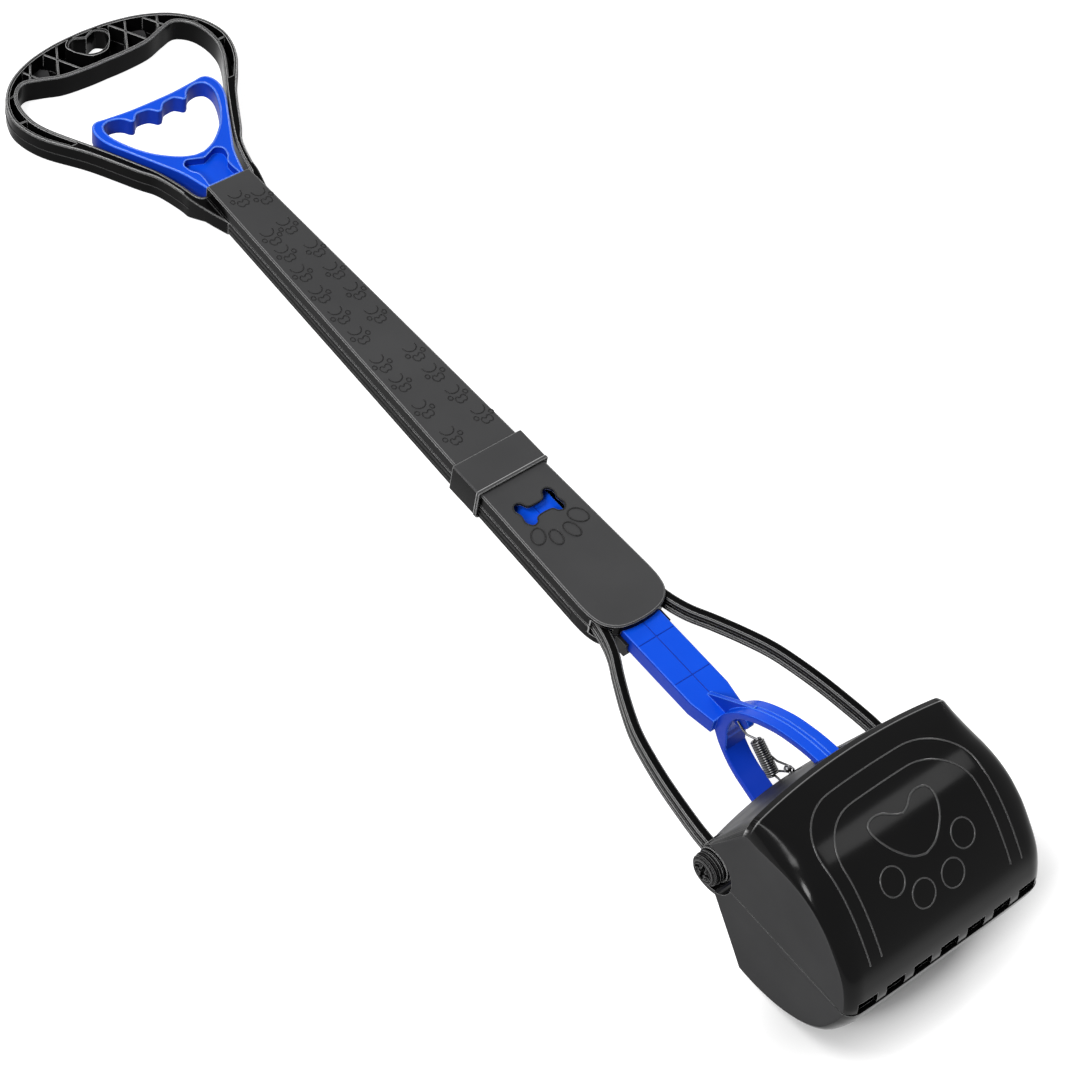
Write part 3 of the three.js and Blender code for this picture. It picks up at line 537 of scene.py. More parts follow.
# Jaws
FRONT_CURVE = smooth([
    (RIM_Y - 3, 45.8), (-492, 46.6), (-509, 46), (-524.5, 41.9), (-538.5, 33), (-550.6, 21.7),
    (-557.8, 13), (-562, 4.6), (-564.6, -3.4), (-565.2, PART_Z + 0.2),
], 72)
REAR_CURVE = smooth([
    (-503, -57.6), (-516.4, -57.2), (-532, -53.7), (-546.4, -46.3), (-556.6, -36.2),
    (-562.8, -22.5), (-565.1, -14), (-565.7, PART_Z - 0.2),
], 56)
FRONT_DOWN = along(FRONT_CURVE)
# Each table gives its second row of values at its first row of places down from the rim.
ROUNDED_DEPTH = (0, 8, 19, 34, 44, 55, 66, 110), (12.1, 12, 10.5, 8.5, 7, 5.4, 4.6, 5.6)
ROUNDED_WIDTH = (0, 25, 50, 70, 110), (6, 17, 17, 11, 8)
LOWEST = 110
WIDEST = max(ROUNDED_WIDTH[1])
STRAIGHT = JAW_HALF - WIDEST
STATIONS = [STRAIGHT * k / 12 for k in range(12)]
STATIONS += [STRAIGHT + WIDEST * math.sin(math.pi * k / 36) for k in range(19)]
SWELL_FROM, SWELL = 24, 0.8
BARREL_R, BARREL_TAPER, BARREL_HALF = 15.7, 0.002, 52
INSIDE_OVER = 22
BLOCK_R, RECESS_R, PAST_END = 17, 14.5, 70
SLOT_R = 2.35


def inset_at(x, down=LOWEST):
    """How far the skin lies inside the middle's curve: rounded ends, deep at the rim and fading out below."""
    deep, wide = np.interp(down, *ROUNDED_DEPTH), np.interp(down, *ROUNDED_WIDTH)
    t = max(0.0, (abs(x) - JAW_HALF + wide) / wide)
    swell = max(0.0, (abs(x) - SWELL_FROM) / (JAW_HALF - SWELL_FROM))
    return float(deep * (1 - math.sqrt(max(0.0, 1 - t * t))) + SWELL * swell * swell)


def barrel_at(x):
    return BARREL_R - BARREL_TAPER * min(abs(x), BARREL_HALF) ** 2


def inset_curve(curve, by, outward):
    """A curve moved inwards; its first point moves only in z and its last only in y."""
    moves = by if isinstance(by, list) else [by] * len(curve)
    out = moved(curve, [outward * move for move in moves])
    out[0] = (curve[0][0], curve[0][1] - math.copysign(moves[0], curve[0][1]))
    out[-1] = (curve[-1][0] + moves[-1], curve[-1][1])
    return out


def blend_top(y):
    """1 at the rim, where the jaw's top bows back towards its ends, and 0 where it no longer does."""
    return min(1.0, max(0.0, (y + 520) / 42))


def front_section(x, wall):
    drop = RIM_DROP * x * x
    extra = SHELL if wall else 0
    insets = [inset_at(x, down) + extra for down in FRONT_DOWN]
    radius = barrel_at(x) - (BARREL_WALL if wall else 0)
    curve = [(y - drop * blend_top(y), z) for y, z in inset_curve(FRONT_CURVE, insets, 1)]
    rim = (RIM_Y - drop - extra, RIM_Z - insets[0])
    if wall:
        over = PART_Z - INSIDE_OVER
        return [rim, *curve, (curve[-1][0], over), (PIVOT_Y, over), *turn_of(radius, -27, 23, 24)]
    corner = [(PIVOT_Y + radius - 4, PART_Z + 0.2), about(radius - 4, -20)]
    return [rim, *curve, *corner, *turn_of(radius, -20, 23, 20)]


def rear_section(x, wall):
    inset = inset_at(x) + (SHELL if wall else 0)
    radius = barrel_at(x) - BARREL_WALL - 0.4 - (BARREL_WALL if wall else 0)
    curve = inset_curve(REAR_CURVE, inset, -1)
    if wall:
        over = PART_Z + INSIDE_OVER
        curve[0] = (curve[0][0] - SHELL * 1.2, curve[0][1])
        return [*curve, (curve[-1][0], over), (PIVOT_Y, over), *turn_of(radius, 16, -104, 36)]
    corner = [(PIVOT_Y + radius - 4, PART_Z - 0.2), about(radius - 4, 10)]
    return [*curve, *corner, *turn_of(radius, 10, -106, 36)]


def loft(name, section, stations, wall):
    both = [-x for x in reversed(stations[1:])] + stations
    return sweep(name, [[(x, y, z) for y, z in section(x, wall)] for x in both])


def jaw_shell(name, section, x0, thick, ear):
    """Shell between an outer and an inner skin, with a stepped-in cheek at each end for the axle."""
    outer = loft(name, section, STATIONS, False)
    spare = link("spare", outer.data.copy())
    end = JAW_HALF - SHELL
    shell = cut(outer, loft("inside", section, [x for x in STATIONS if x < end - 0.05] + [end], True))
    blocks = keep(join(*two_sided(disc, "block", BLOCK_R, x0, PAST_END)), spare)
    shell = cut(join(shell, blocks), *two_sided(disc, "recess", RECESS_R, x0 + thick, PAST_END))
    return join(shell, *two_sided(disc, "ear", ear, x0, x0 + thick, soft=0.4))


def pin_slot(pin_y, pin_z, low, high):
    """A slot with round ends on the line from the pivot to the pin, from low to high."""
    angle = math.degrees(math.atan2(pin_z, pin_y))
    ends = ((low, 90), (high, -90))
    outline = [about(SLOT_R, angle + start + 15 * k, about(d, angle)) for d, start in ends for k in range(13)]
    return slab("slot", outline, -12, 12, 0)


def lug_pair(points):
    return two_sided(slab, "lug", [(PIVOT_Y + y, PIVOT_Z + z) for y, z in points], 7.2, 9.9, 0.4)


def sector(low, high, start, end):
    """A slot part of the way round the barrel, for the spring and its pin."""
    return slab("sector", turn_of(low, start, end, 16) + turn_of(high, end, start, 16), -2.4, 2.4, 0)


# Which faces take a second material, by their centre and normal
CAP_X = 62.13


def on_cap(at, normal):
    return abs(at.x) > CAP_X and abs(normal.x) > 0.5


def on_roof(at, normal):
    return at.y > RIM_Y - 6 and normal.y > 0.3 and at.z > -2


def on_flank(at, normal):
    return normal.z < 0.35


# Faces inside the rear strap, which take the painted shade.
def shaded_arch_faces(at, normal):
    return at.y < -419 and at.z < -6 and normal.z > 0.2 and abs(normal.x) < 0.5


# Sides of the pull fork, which take the painted shade.
def shaded_side_faces(at, normal):
    return abs(normal.x) > 0.7


# Walls of the trigger, which take the painted shade.
def shaded_wall_faces(at, normal):
    return abs(normal.z) < 0.3


def at_mouth(at, normal):
    return at.y < -343 and abs(at.x) < 14.5


TEETH_STEP, TEETH_GAP = 17.1, 5.8
front = jaw_shell("front_jaw_shell", front_section, x0=48.9, thick=2.5, ear=10.6)
front = join(front, *lug_pair([(1.9, 33.5), (-4, 46.8), (-12, 46.8), (-16, 43), (-16, 38), (-11, 33.5)]))
middles = [k * TEETH_STEP for k in range(-3, 4)]
front = cut(
    front,
    box("passage", -7.15, 7.15, PIVOT_Y - 7, PIVOT_Y + 6, PIVOT_Z + 36.2, PIVOT_Z + 49.4),
    pin_slot(-9, 39.5, 39.4, 42.8),
    sector(8, 30, -30, 62),
    disc("bore", BORE_R, -PAST_END, PAST_END),
    *[box("gap", x - TEETH_GAP, x + TEETH_GAP, -575, -556, PART_Z - 2, PART_Z + 7) for x in middles],
)
dress(front, GLOSS, "front_jaw", "front_jaw", also=[(MATT, on_cap), (DULL_BLACK_AND_RELIEF_SHADE, on_roof)])

REAR_LUG = [
    (-3, -34), (-1.5, -40), (-4.5, -45.5), (-12, -47.5), (-31, -45.6), (-24, -36), (-15, -27), (-9, -30),
]
rear = jaw_shell("rear_jaw_shell", rear_section, x0=46.2, thick=2.4, ear=8.6)
rear = join(rear, *lug_pair(REAR_LUG))
rear = cut(
    rear,
    pin_slot(-9, -38, 37.9, 41),
    sector(6, 30, 14, -70),
    disc("bore", BORE_R, -PAST_END, PAST_END),
)
skirt = turn_of(14.5, -124, -72, 12) + turn_of(16.9, -72, -124, 12)
rear = join(rear, *two_sided(slab, "skirt", skirt, 46.2, 61.6, 0))
dress(rear, GLOSS, "rear_jaw", "rear_jaw", also=[(MATT, on_cap)])

# Lines moulded on the front jaw. They are drawn on the unrolled front: x across, v down from the rim.
UNROLLED = smooth(FRONT_CURVE, 288)
DOWN = along(UNROLLED)
OUTWARDS = np.array([0, -0.7, 0.7])


def on_front(x, v):
    (y, z), (ay, az), (by, bz) = (
        [np.interp(v + step, DOWN, UNROLLED[:, k]) for k in (0, 1)] for step in (0, -0.5, 0.5)
    )
    inset = inset_at(x, v) / math.hypot(by - ay, bz - az)
    y, z = y - inset * (bz - az), z + inset * (by - ay)
    return np.array([x, y - RIM_DROP * x * x * blend_top(y), z])


def out_of_front(x, v):
    n = np.cross(on_front(x + 0.5, v) - on_front(x - 0.5, v), on_front(x, v + 0.8) - on_front(x, v - 0.8))
    n = unit(n)
    return n if n @ OUTWARDS > 0 else -n


def front_line(line, closed, half, height):
    return ridge(line, closed, on_front, out_of_front, half, height)


def border(half, top, radius, low):
    """Upside-down U with round corners, open below."""
    turns = [math.radians(a) for a in range(0, 91, 6)]
    corner = [(half - radius + radius * math.cos(a), top + radius - radius * math.sin(a)) for a in turns]
    right = [(half, low), *corner]
    return evenly(right + flip(right)[::-1], 1.2)


HALF_PAD = [
    (0, 38.8), (4, 37.3), (8.6, 34), (13.6, 32.9), (18.4, 34.6), (19.4, 39.2), (17.4, 45.4), (13.2, 51.6),
    (7, 57.2), (0, 59.6),
]
pad = smooth(HALF_PAD, 45)
pad = evenly([tuple(p) for p in pad] + flip(pad[1:-1])[::-1], 0.8, True)
BORDERS = [(48.3, 12, 26, 89.5), (41.2, 22, 24, 88.5)]
raised = [front_line(border(*sizes), False, 0.5, 0.45) for sizes in BORDERS]
raised.append(front_line(pad, True, 0.6, 0.6))
for x, v, rx, ry in ((22.2, 61.5, 6.6, 7), (9.2, 74.7, 6.6, 6.9)):
    raised += [front_line(ellipse(side * x, v, rx, ry), True, 0.45, 0.42) for side in (-1, 1)]
dress(merged("front_jaw_relief", raised), LINE, "front_jaw", slot="front_jaw")


# Covers and collar
def half_at(y):
    return 13.7 + 0.0275 * abs(min(y, 0))


def pole_outline(y0, y1, inset=0.0):
    return mirrored([(half_at(y0) - inset, y0), (half_at(y1) - inset, y1)])


PAWS = [
    (-4, -15), (7.7, -20), (6.1, -44.7), (-5.8, -46.8), (8.9, -65.8), (-6.4, -60.5), (-7.6, -76.4),
    (8.2, -84), (-8.3, -93.6), (8.7, -101.5), (-8.4, -110.8), (8, -120.4), (-8, -127.5), (9, -152),
    (-10.1, -149), (9.1, -168.4), (-9.6, -164.6), (10.2, -186.2), (-10.3, -185), (13, -204), (-9, -206.5),
]
MIDDLE_TOES = [
    (-0.2, -4.2), (-1.6, -3), (-3, -4.2), (-2.9, -6.4), (-1.2, -7.6), (0.2, -6.8), (1.6, -7.3), (3, -6),
    (2.8, -3.9), (1.3, -3),
]


def paw(x, y):
    """Paw print about 12 mm long, toes towards the jaws: pad, two outer toes and two that run together."""
    turns = [math.radians(a) for a in range(165, 381, 12)]
    middle = smooth([*MIDDLE_TOES, *MIDDLE_TOES[:2]], 44)[4:44]
    return [
        flat_ridge([(x + 3.8 * math.cos(a), y + 3.2 + 3.6 * math.sin(a)) for a in turns], False),
        flat_ridge([(x + a, y + b) for a, b in middle], True),
        flat_ridge(ellipse(x - 4.7, y - 2, 1.2, 1.35, 0, 16), True),
        flat_ridge(ellipse(x + 4.7, y - 2.2, 1.2, 1.35, 0, 16), True),
    ]


upper = plate("upper_front_cover_shell", [pole_outline(FOLD_Y + 0.2, 0)], SEAM, FRONT, 0.7, 0)
upper = cut(upper, plate("hollow", [pole_outline(FOLD_Y - 1, 1, WALL)], SEAM - 1, FRONT - SKIN, 0))
dress(upper, GREY, "upper_pole", "upper_front_cover", also=[(BLACK, on_flank)])
prints = [line for x, y in PAWS for line in paw(x, y)]
# The paw prints are raised lines, painted near-black as shade on the grey cover.
dress(merged("upper_cover_paw_prints", prints), DULL_BLACK_AND_RELIEF_SHADE, "upper_pole", slot="upper_front_cover")

END_HALF = [(half_at(-326), -326), (22.2, -334), (20, -341), (14.6, -346.2), (7.5, -348.4), (0, TIP_Y)]
BONE_X, BONE_Y = -0.3, -268.6
BONE_HALF = [
    (0, 3.6), (4.6, 4.2), (7, 8), (10.6, 8.4), (12.6, 5.2), (11.6, 1), (12.4, -3.6), (10, -7), (6.6, -6.4),
    (4.6, -3.8), (0, -3.2),
]
BONE_LOOP = [(x + BONE_X, y + BONE_Y) for x, y in mirrored(smooth(BONE_HALF, 66))]
ARM_LINE = smooth([
    (17.6, -298), (17.6, -316), (17.8, -330), (20, -343.5), (24, -355.2), (30.4, -366.7), (37.7, -381),
    (43.9, -395.5), (47.8, -410), (50.7, -424.3), (52.8, -438.7), (54.4, -452.2), (55, -463),
], 96)
TOES = [
    (-12.7, -282.1, 5.2, 3.6, 54), (-5.3, -287.3, 4.8, 3.1, 81), (4.5, -287.7, 5.2, 3.3, 103),
    (12.7, -282.5, 5.5, 4.1, 128),
]


def lower_outline(inset=0.0, top=FOLD_Y - 0.2):
    end = [(x * (1 - inset / 24), y + inset * (1 - x / 30)) for x, y in smooth(END_HALF, 48)]
    return mirrored([(half_at(top) - inset, top), *end])


def lower_cavity(name, z0, z1):
    return plate(name, [lower_outline(1.5, FOLD_Y + 1)], z0, z1, 0)


def mouth(z0, z1):
    """The opening at the lower pole's end, through which the bar slides."""
    return box("mouth", -12.6, 12.6, -360, -330, z0, z1)


def arm_clearance():
    wide = band(ARM_LINE, 3.6)
    return [plate("way", [outline], -12.4, -2.6, 0) for outline in (wide, flip(wide))]


lower = cut(
    plate("lower_front_cover_shell", [lower_outline()], SEAM, FRONT, 0.7, 0),
    lower_cavity("hollow", SEAM - 1, FRONT - SKIN),
    mouth(SEAM - 1, -4.3),
    plate("window", [BONE_LOOP], -6, 2, 0),
    *arm_clearance(),
)
dress(lower, GREY, "lower_pole", "lower_front_cover", also=[(BLACK, on_flank)])
relief = [flat_ridge(ellipse(*toe, 36), True, 0.45, 0.5) for toe in TOES]
relief.append(flat_ridge(evenly(BONE_LOOP, 0.7, True), True, 0.4, 0.35))
# The toes and the bone's lip are painted near-black as shade on the grey cover.
dress(merged("lower_cover_relief", relief), DULL_BLACK_AND_RELIEF_SHADE, "lower_pole", slot="lower_front_cover")

COLLAR_TOP, COLLAR_LOW, COLLAR_HALF, COLLAR_FRONT, COLLAR_BACK = -224.6, -246.6, 22.1, 1.7, -18.3
COLLAR_CORNER = 1


def collar_ring(y, grow):
    """Cross-section of the collar, rounded at its front corners, with the hinge channel at its back."""
    half, front, back = COLLAR_HALF + grow, COLLAR_FRONT + grow, COLLAR_BACK - grow
    x, z = half - COLLAR_CORNER, front - COLLAR_CORNER
    turns = np.linspace(0, math.pi / 2, 7)
    corner = [(x + COLLAR_CORNER * math.sin(a), z + COLLAR_CORNER * math.cos(a)) for a in turns]
    foot = [(half, back + 3), (half - 1, back + 1.3), (half - 3, back), (15, back), (14.6, back - 2.6)]
    side = [(0, front), *corner, *foot, (0, back - 2.6)]
    return [(x, y, z) for x, z in side + flip(side[1:-1])[::-1]]


levels = [
    (COLLAR_TOP, -0.5), (COLLAR_TOP - 0.5, 0), (COLLAR_LOW + 2.2, 0), (COLLAR_LOW + 1.6, 0.3),
    (COLLAR_LOW + 0.3, 0.3), (COLLAR_LOW, 0),
]
collar = cut(
    sweep("collar_band", [collar_ring(*level) for level in levels]),
    plate("inside", [pole_outline(COLLAR_LOW - 1, COLLAR_TOP + 1, -0.4)], BACK - 0.4, FRONT + 0.4, 0),
    box("channel", -13.4, 13.4, COLLAR_LOW - 1, COLLAR_TOP + 1, BACK - 3, BACK),
)
dress(collar, GREY, "collar", "collar", also=[(BLACK, on_flank)])


# Fork arms and pull fork
ARM_HALF = [
    (1.8, -12.1), (2.8, -11.6), (3.3, -10.6), (3.3, -9.4), (2.7, -8.9), (2.2, -8.7), (2.2, -6.3), (2.7, -6.1),
    (3.3, -5.6), (3.3, -4.6), (3, -3.6), (2.3, -3), (1.2, -2.9),
]
ARM_SLIM = 0.8
EYE_X, EYE_R, EYE_HALF, EYE_BORE = 55, 9.9, 3.3, 2.62


def fork_arm(side, name):
    """A bowed arm from the pole's end to the eye round the axle."""
    line = ARM_LINE if side > 0 else np.array(flip(ARM_LINE))
    profile = [(ARM_SLIM * a, z) for a, z in mirrored(ARM_HALF)]
    spots = zip(line, left_of(line))
    arm = sweep("arm", [[(x + u * a, y + v * a, z) for a, z in profile] for (x, y), (u, v) in spots])
    inner = sorted((side * (EYE_X - EYE_HALF), side * (EYE_X - 0.5)))
    tab = box("tab", *inner, PIVOT_Y - 13.6, PIVOT_Y - 8, PIVOT_Z - 2.4, PIVOT_Z + 2.4)
    x = side * EYE_X
    arm = join(arm, disc("eye", EYE_R, x - EYE_HALF, x + EYE_HALF, soft=0.7), tab)
    arm = cut(arm, disc("bore", EYE_BORE, x - EYE_HALF - 1, x + EYE_HALF + 1))
    dress(arm, BLACK, "lower_pole", name).name = name + "_rod"


fork_arm(-1, "left_fork_arm")
fork_arm(1, "right_fork_arm")

FRONT_STRAP = smooth([
    (-411.4, -5.2), (-414.3, 2.2), (-421, 11.5), (-428.6, 18.1), (-437.7, 23.8), (-447, 28.2),
    (-459.9, 32), (-470.8, 33.7), (PIVOT_Y - 9, PIVOT_Z + 41.3),
], 72)
REAR_STRAP = smooth([
    (-411.4, -14), (-416, -20), (-423.5, -26.6), (-431, -30.8), (-439.4, -33.8), (-447, -36.4),
    (-458, -40.2), (-470, -44.4), (PIVOT_Y - 9, PIVOT_Z - 39.8),
], 72)
STRAP_HALF, STRAP_THICK = 6.7, 3.6
BELOW_CROWN = -421


def strap_arch():
    """Both straps as one arch, outside and inside."""
    front, rear = (
        [p for p in moved(line, thick) if p[0] < BELOW_CROWN]
        for line, thick in ((FRONT_STRAP, STRAP_THICK), (REAR_STRAP, -STRAP_THICK))
    )
    crown = smooth([front[0], (-419.4, 1.2), (-418.6, -5), (-419.6, -11), rear[0]], 20)
    inside = [*front[::-1], *crown[1:-1], *rear]
    return [*FRONT_STRAP, *inside, *REAR_STRAP[::-1], (-404, -13.6), (-404, -5.5)]


hook = [
    (FOLD_Y - 5, BAR_FRONT), *turn_of(11.7, 90, 35, 14, HINGE), *turn_of(8.7, 35, 90, 14, HINGE),
    (FOLD_Y - 0.4, BACK + 8.7), (FOLD_Y - 0.4, BAR_BACK), (FOLD_Y - 5, BAR_BACK),
]
bar_half = [(BAR_HALF, -252), (BAR_HALF, -398), (9.6, -412)]
bar = join(
    plate("pull_fork_body", [mirrored(bar_half)], BAR_BACK, BAR_FRONT, 0.8, 4),
    box("stem", -ROD_HALF, ROD_HALF, -254, FOLD_Y - 4, BAR_BACK, BAR_FRONT),
    slab("hook", hook, -ROD_HALF, ROD_HALF, 0),
)
bar = cut(bar, box("hollow", -9.6, 9.6, -397, -258, BAR_BACK - 1, BAR_FRONT - 2.3))
gusset = [(-398.2, -5.4), (-398.2, -4.8), (-425.5, 16.4), (-424, 11), (-415, 0), (-411, -6)]
lug = [(-415, -5.5), (-415, 1.5), (-423, 1), (-425.2, -1.6), (-423, -4.2)]
link_pins = [(PIVOT_Y - 9, PIVOT_Z + 39.5), (PIVOT_Y - 9, PIVOT_Z - 38)]
bar = join(
    bar,
    slab("arch", strap_arch(), -STRAP_HALF, STRAP_HALF, 0.7, 3),
    slab("gusset", gusset, -1.3, 1.3, 0.25),
    slab("lug", lug, -1.6, 1.6, 0.4),
    disc("boss", 3.1, -2.1, 2.1, -423.4, 1.4, 0.5),
    *[disc("eye", 4.3, -STRAP_HALF, STRAP_HALF, y, z, 0.4) for y, z in link_pins],
)
bar = cut(bar, *[disc("hole", 2, -STRAP_HALF - 1, STRAP_HALF + 1, y, z) for y, z in link_pins])
# The arch's inside and the fork's sides are painted darker blue as shade.
dress(bar, BLUE, "pull_fork", "pull_fork", also=[(SHADE_BLUE, shaded_arch_faces), (SHADE_BLUE, shaded_side_faces)])


def strap_rib(strap, x, out):
    """A rib along a strap, at one place across; out is 1 on the front strap and -1 on the rear one."""
    line = [(float(y), float(z)) for y, z in strap[6:]]
    ways = across_line(line, lambda y, z: (0, out))
    return ridge(
        line, False, lambda y, z: np.array([x, y, z]), lambda y, z: np.array([0, *ways[y, z]]), 0.45, 0.4
    )


ribs = [strap_rib(strap, x, out) for strap, out in ((FRONT_STRAP, 1), (REAR_STRAP, -1)) for x in (-1.1, 1.1)]
dress(merged("pull_fork_ribs", ribs), BLUE, "pull_fork", slot="pull_fork")
scores = [[(0, y) for y in np.linspace(-262, -398, 70)]]
scores += [[(x, y) for x in np.linspace(-11, 11, 12)] for y in (-358.6, -385.5)]
scores = [flat_ridge(line, False, 0.3, 0.06, BAR_FRONT) for line in scores]
# The score lines are low ridges in the darker blue of painted shade, standing for the shade in the bar's
# grooves.
dress(merged("pull_fork_score_lines", scores), SHADE_BLUE, "pull_fork", slot="pull_fork")


# D grip with its pole shell
RING_FRONT, RING_BACK = -7.7, -22
FLOOR = RING_BACK + 3
RING_OUTER = smooth([
    (14.6, -22), (18.5, -11), (22.2, 2), (23.6, 10.6), (28, 25), (34.6, 35.5), (48.5, 59.5), (64.3, 81.6),
    (69.7, 98.9), (67.2, 112.3), (60.5, 122.9), (50.4, 131.5), (35.5, 138.2), (18, 141.9), (0, 143),
], 112)
RING_INNER = smooth([
    (15, 0.4), (17.6, 3.5), (20.3, 14.9), (24.6, 28.2), (30.6, 40.3), (41.2, 59.5), (56.8, 86.4),
    (60.6, 101), (58, 115), (50, 122.6), (40, 120.6), (28, 116.6), (12, 115.2), (0, 115.2),
], 104)
# Middle and angle of the ribs on the right
RIBS = [(22.5, 131, 60), (22.5, 131, -60), (42, 128, 62), (42, 128, -58), (62, 118, -14), (65.5, 99, 2)]
PANELS = [
    [(26.5, 134.5), (31.5, 139.6), (37.5, 134.4), (35.6, 129.4), (31.6, 125.6), (28.2, 129.8)],
    [(46.2, 128.2), (50.4, 131.2), (57.4, 124.8), (55.4, 119.6), (50.6, 124.4)],
    [(63, 113.6), (65.6, 112.2), (67.2, 103), (63.6, 102.6), (62.4, 108)],
    [(62.8, 95.8), (66.6, 96), (64.6, 88.6), (59.8, 82.6), (59.4, 85.4)],
    [(12.2, 120), (17.6, 125.6), (20, 121.2), (16.4, 118.6)],
]


def heart(width, top, bottom):
    half = [
        (0, top - 2.2), (width * 0.28, top - 0.4), (width * 0.62, top + 0.6), (width * 0.94, top - 3.2),
        (width * 0.86, top - 8.4), (width * 0.42, bottom + 1.4), (0, bottom),
    ]
    return mirrored(smooth(half, 42))


outer, inner = mirrored(RING_OUTER), mirrored(RING_INNER)
channel_outer = mirrored([p for p, (_, y) in zip(shrunk(outer, 2.2), RING_OUTER) if y > 66])
within, round_hang = shrunk(inner, -2.2), heart(14.3, 140.1, 122.2)


def in_channel(thing):
    """The share of a thing that lies in the grip's channel."""
    kept = keep(thing, plate("channel", [channel_outer], FLOOR - 0.5, 0, 0))
    return cut(
        kept,
        plate("rim", [within], FLOOR - 1, 1, 0),
        plate("hang", [round_hang], FLOOR - 1, 1, 0),
        box("grip", -45, 45, 60, 112, FLOOR - 1, 1),
    )


def with_seats(shell, places, *more):
    """A pole shell with its hinge knuckles and screw seats, bored for the hinge pin and the screws."""
    spots = [(side * x, y) for x, y in places for side in (-1, 1)]
    shell = join(shell, *more, *[post("seat", 3.6, *at, -15.5, -12.4) for at in spots])
    return cut(
        shell,
        disc("hinge", 1.18, -14, 14, *HINGE),
        *[post("counterbore", 3, *at, -17, -14.8) for at in spots],
        *[post("hole", 1.5, *at, -17, -12) for at in spots],
    )


ribs = []
for x, y, angle in RIBS:
    for side in (-1, 1):
        rib = box("rib", -21, 21, -0.5, 0.5, FLOOR - 0.5, RING_FRONT - 1)
        turn = Matrix.Rotation(math.radians(side * angle), 4, "Z")
        rib.data.transform(Matrix.Translation((side * x, y, 0)) @ turn)
        ribs.append(in_channel(rib))
lip = keep(
    plate("lip", [pole_outline(FOLD_Y + 0.2, 6, -40)], SEAM - GAP, 5, 0),
    plate("near", [pole_outline(-60, 0.3, -0.5)], -9, 5, 0),
)
ring = plate("handle_frame_body", [outer, inner, heart(12.6, 138.6, 124)], RING_BACK, RING_FRONT, 0.8, 3)
ring = cut(cut(ring, lip), in_channel(box("air", -80, 80, 50, 150, FLOOR, 2)))
pole = plate("shell", [pole_outline(FOLD_Y + 0.2, 0)], BACK, SEAM - GAP, 0.5, 3)
handle = cut(
    join(ring, *ribs, pole),
    plate("cavity", [pole_outline(FOLD_Y - 1, 1, WALL)], BACK + SKIN, 2, 0),
    slab("step", [(-26, -16.9), (-26, -30), (10, -30), (6, -22.4), (-8, -16.9)], -40, 40, 0),
    *two_sided(disc, "relief", 2.5, 4.6, 13, *HINGE),
)
handle = with_seats(handle, UPPER_SCREWS, disc("knuckle", 2.1, -4.6, 4.6, *HINGE, 0.3))
dress(handle, BLACK, "upper_pole", "handle_frame")
loops = [loop for half in PANELS for loop in (flip(half), half)]
panels = [plate("panel", [loop], FLOOR, FLOOR + 1.2, 0.3, 2) for loop in loops]
dress(merged("handle_frame_panels", panels), MATT, "upper_pole", slot="handle_frame")
bead_half = evenly([p for p in shrunk(outer, 0.9)[: len(RING_OUTER)] if p[1] > 8], 1.4)
beads = [flat_ridge(evenly(shrunk(inner, -0.9), 1.4, True), True, 0.75, 0.5, RING_FRONT)]
beads += [flat_ridge(line, False, 0.4, 0.35, RING_FRONT) for line in (bead_half, flip(bead_half))]
# The rim beads are lighter than the ring: a painted highlight along its rims.
dress(merged("handle_frame_rims", beads), RIM_HIGHLIGHT_BLACK, "upper_pole", slot="handle_frame")


# Lines along the sides: the grip's parting line and two ribs on each side of both pole shells
def side_rib(y0, y1, side, z):
    line = [(y, z) for y in np.linspace(y0, y1, 24)]
    out = np.array([float(side), 0, 0])
    return ridge(line, False, lambda y, z: np.array([side * half_at(y), y, z]), lambda y, z: out, 0.6, 0.35)


def side_ribs(y0, y1):
    return [side_rib(y0, y1, side, z) for side in (-1, 1) for z in (-10.4, -13.6)]


PARTING_Z, GRIP_MIDDLE = -15, 90
half_loop = [tuple(p) for p in RING_OUTER if p[1] > 3]
whole_loop = evenly(flip(half_loop) + half_loop[-2::-1], 1.5)
ways = across_line(whole_loop, lambda x, y: (x, y - GRIP_MIDDLE))
parting = ridge(
    whole_loop, False, lambda x, y: np.array([x, y, PARTING_Z]), lambda x, y: np.array([*ways[x, y], 0]),
    0.35, 0.3,
)
lines = merged("handle_frame_side_lines", [parting, *side_ribs(-1, FOLD_Y + 0.6)])
dress(lines, DULL_BLACK_AND_RELIEF_SHADE, "upper_pole", slot="handle_frame")
lines = merged("lower_shell_side_lines", side_ribs(FOLD_Y - 0.6, -322))
dress(lines, DULL_BLACK_AND_RELIEF_SHADE, "lower_pole", slot="lower_rear_shell")


# Trigger
GRIP_FRONT, GRIP_BACK = -3.6, -14.2
GRIP_OUTER = smooth([
    (12.1, -6), (12.3, 1), (13.6, 6.5), (17.6, 18.5), (24.4, 31), (32.8, 46), (38.4, 56.5), (40.4, 65),
    (39, 71.6), (35, 74.6), (28, 74), (14, 72.7), (0, 72.5),
], 120)
GRIP_INNER = smooth([
    (0, 63.4), (1.5, 63.8), (3, 65.5), (5.6, 67.7), (11.4, 68.3), (14, 66.6), (15.7, 64.7), (17.5, 64.4),
    (19.1, 65.8), (20.6, 68), (23.8, 70.2), (29, 71), (33.2, 68.8), (34.2, 63), (32, 55.5), (27.2, 46.2),
    (20.6, 37.6), (11.5, 30), (4, 26.6), (0, 26.2),
], 160)
HALF_BONE = [
    (0, 21.8), (4.6, 23.6), (9.4, 25.2), (13, 22.4), (12.2, 17), (9.6, 13), (9.4, 8), (9.8, 4), (10.2, 1),
]
bone = [tuple(p) for p in smooth(HALF_BONE, 66)]
outer, inner = mirrored(GRIP_OUTER), mirrored(GRIP_INNER)
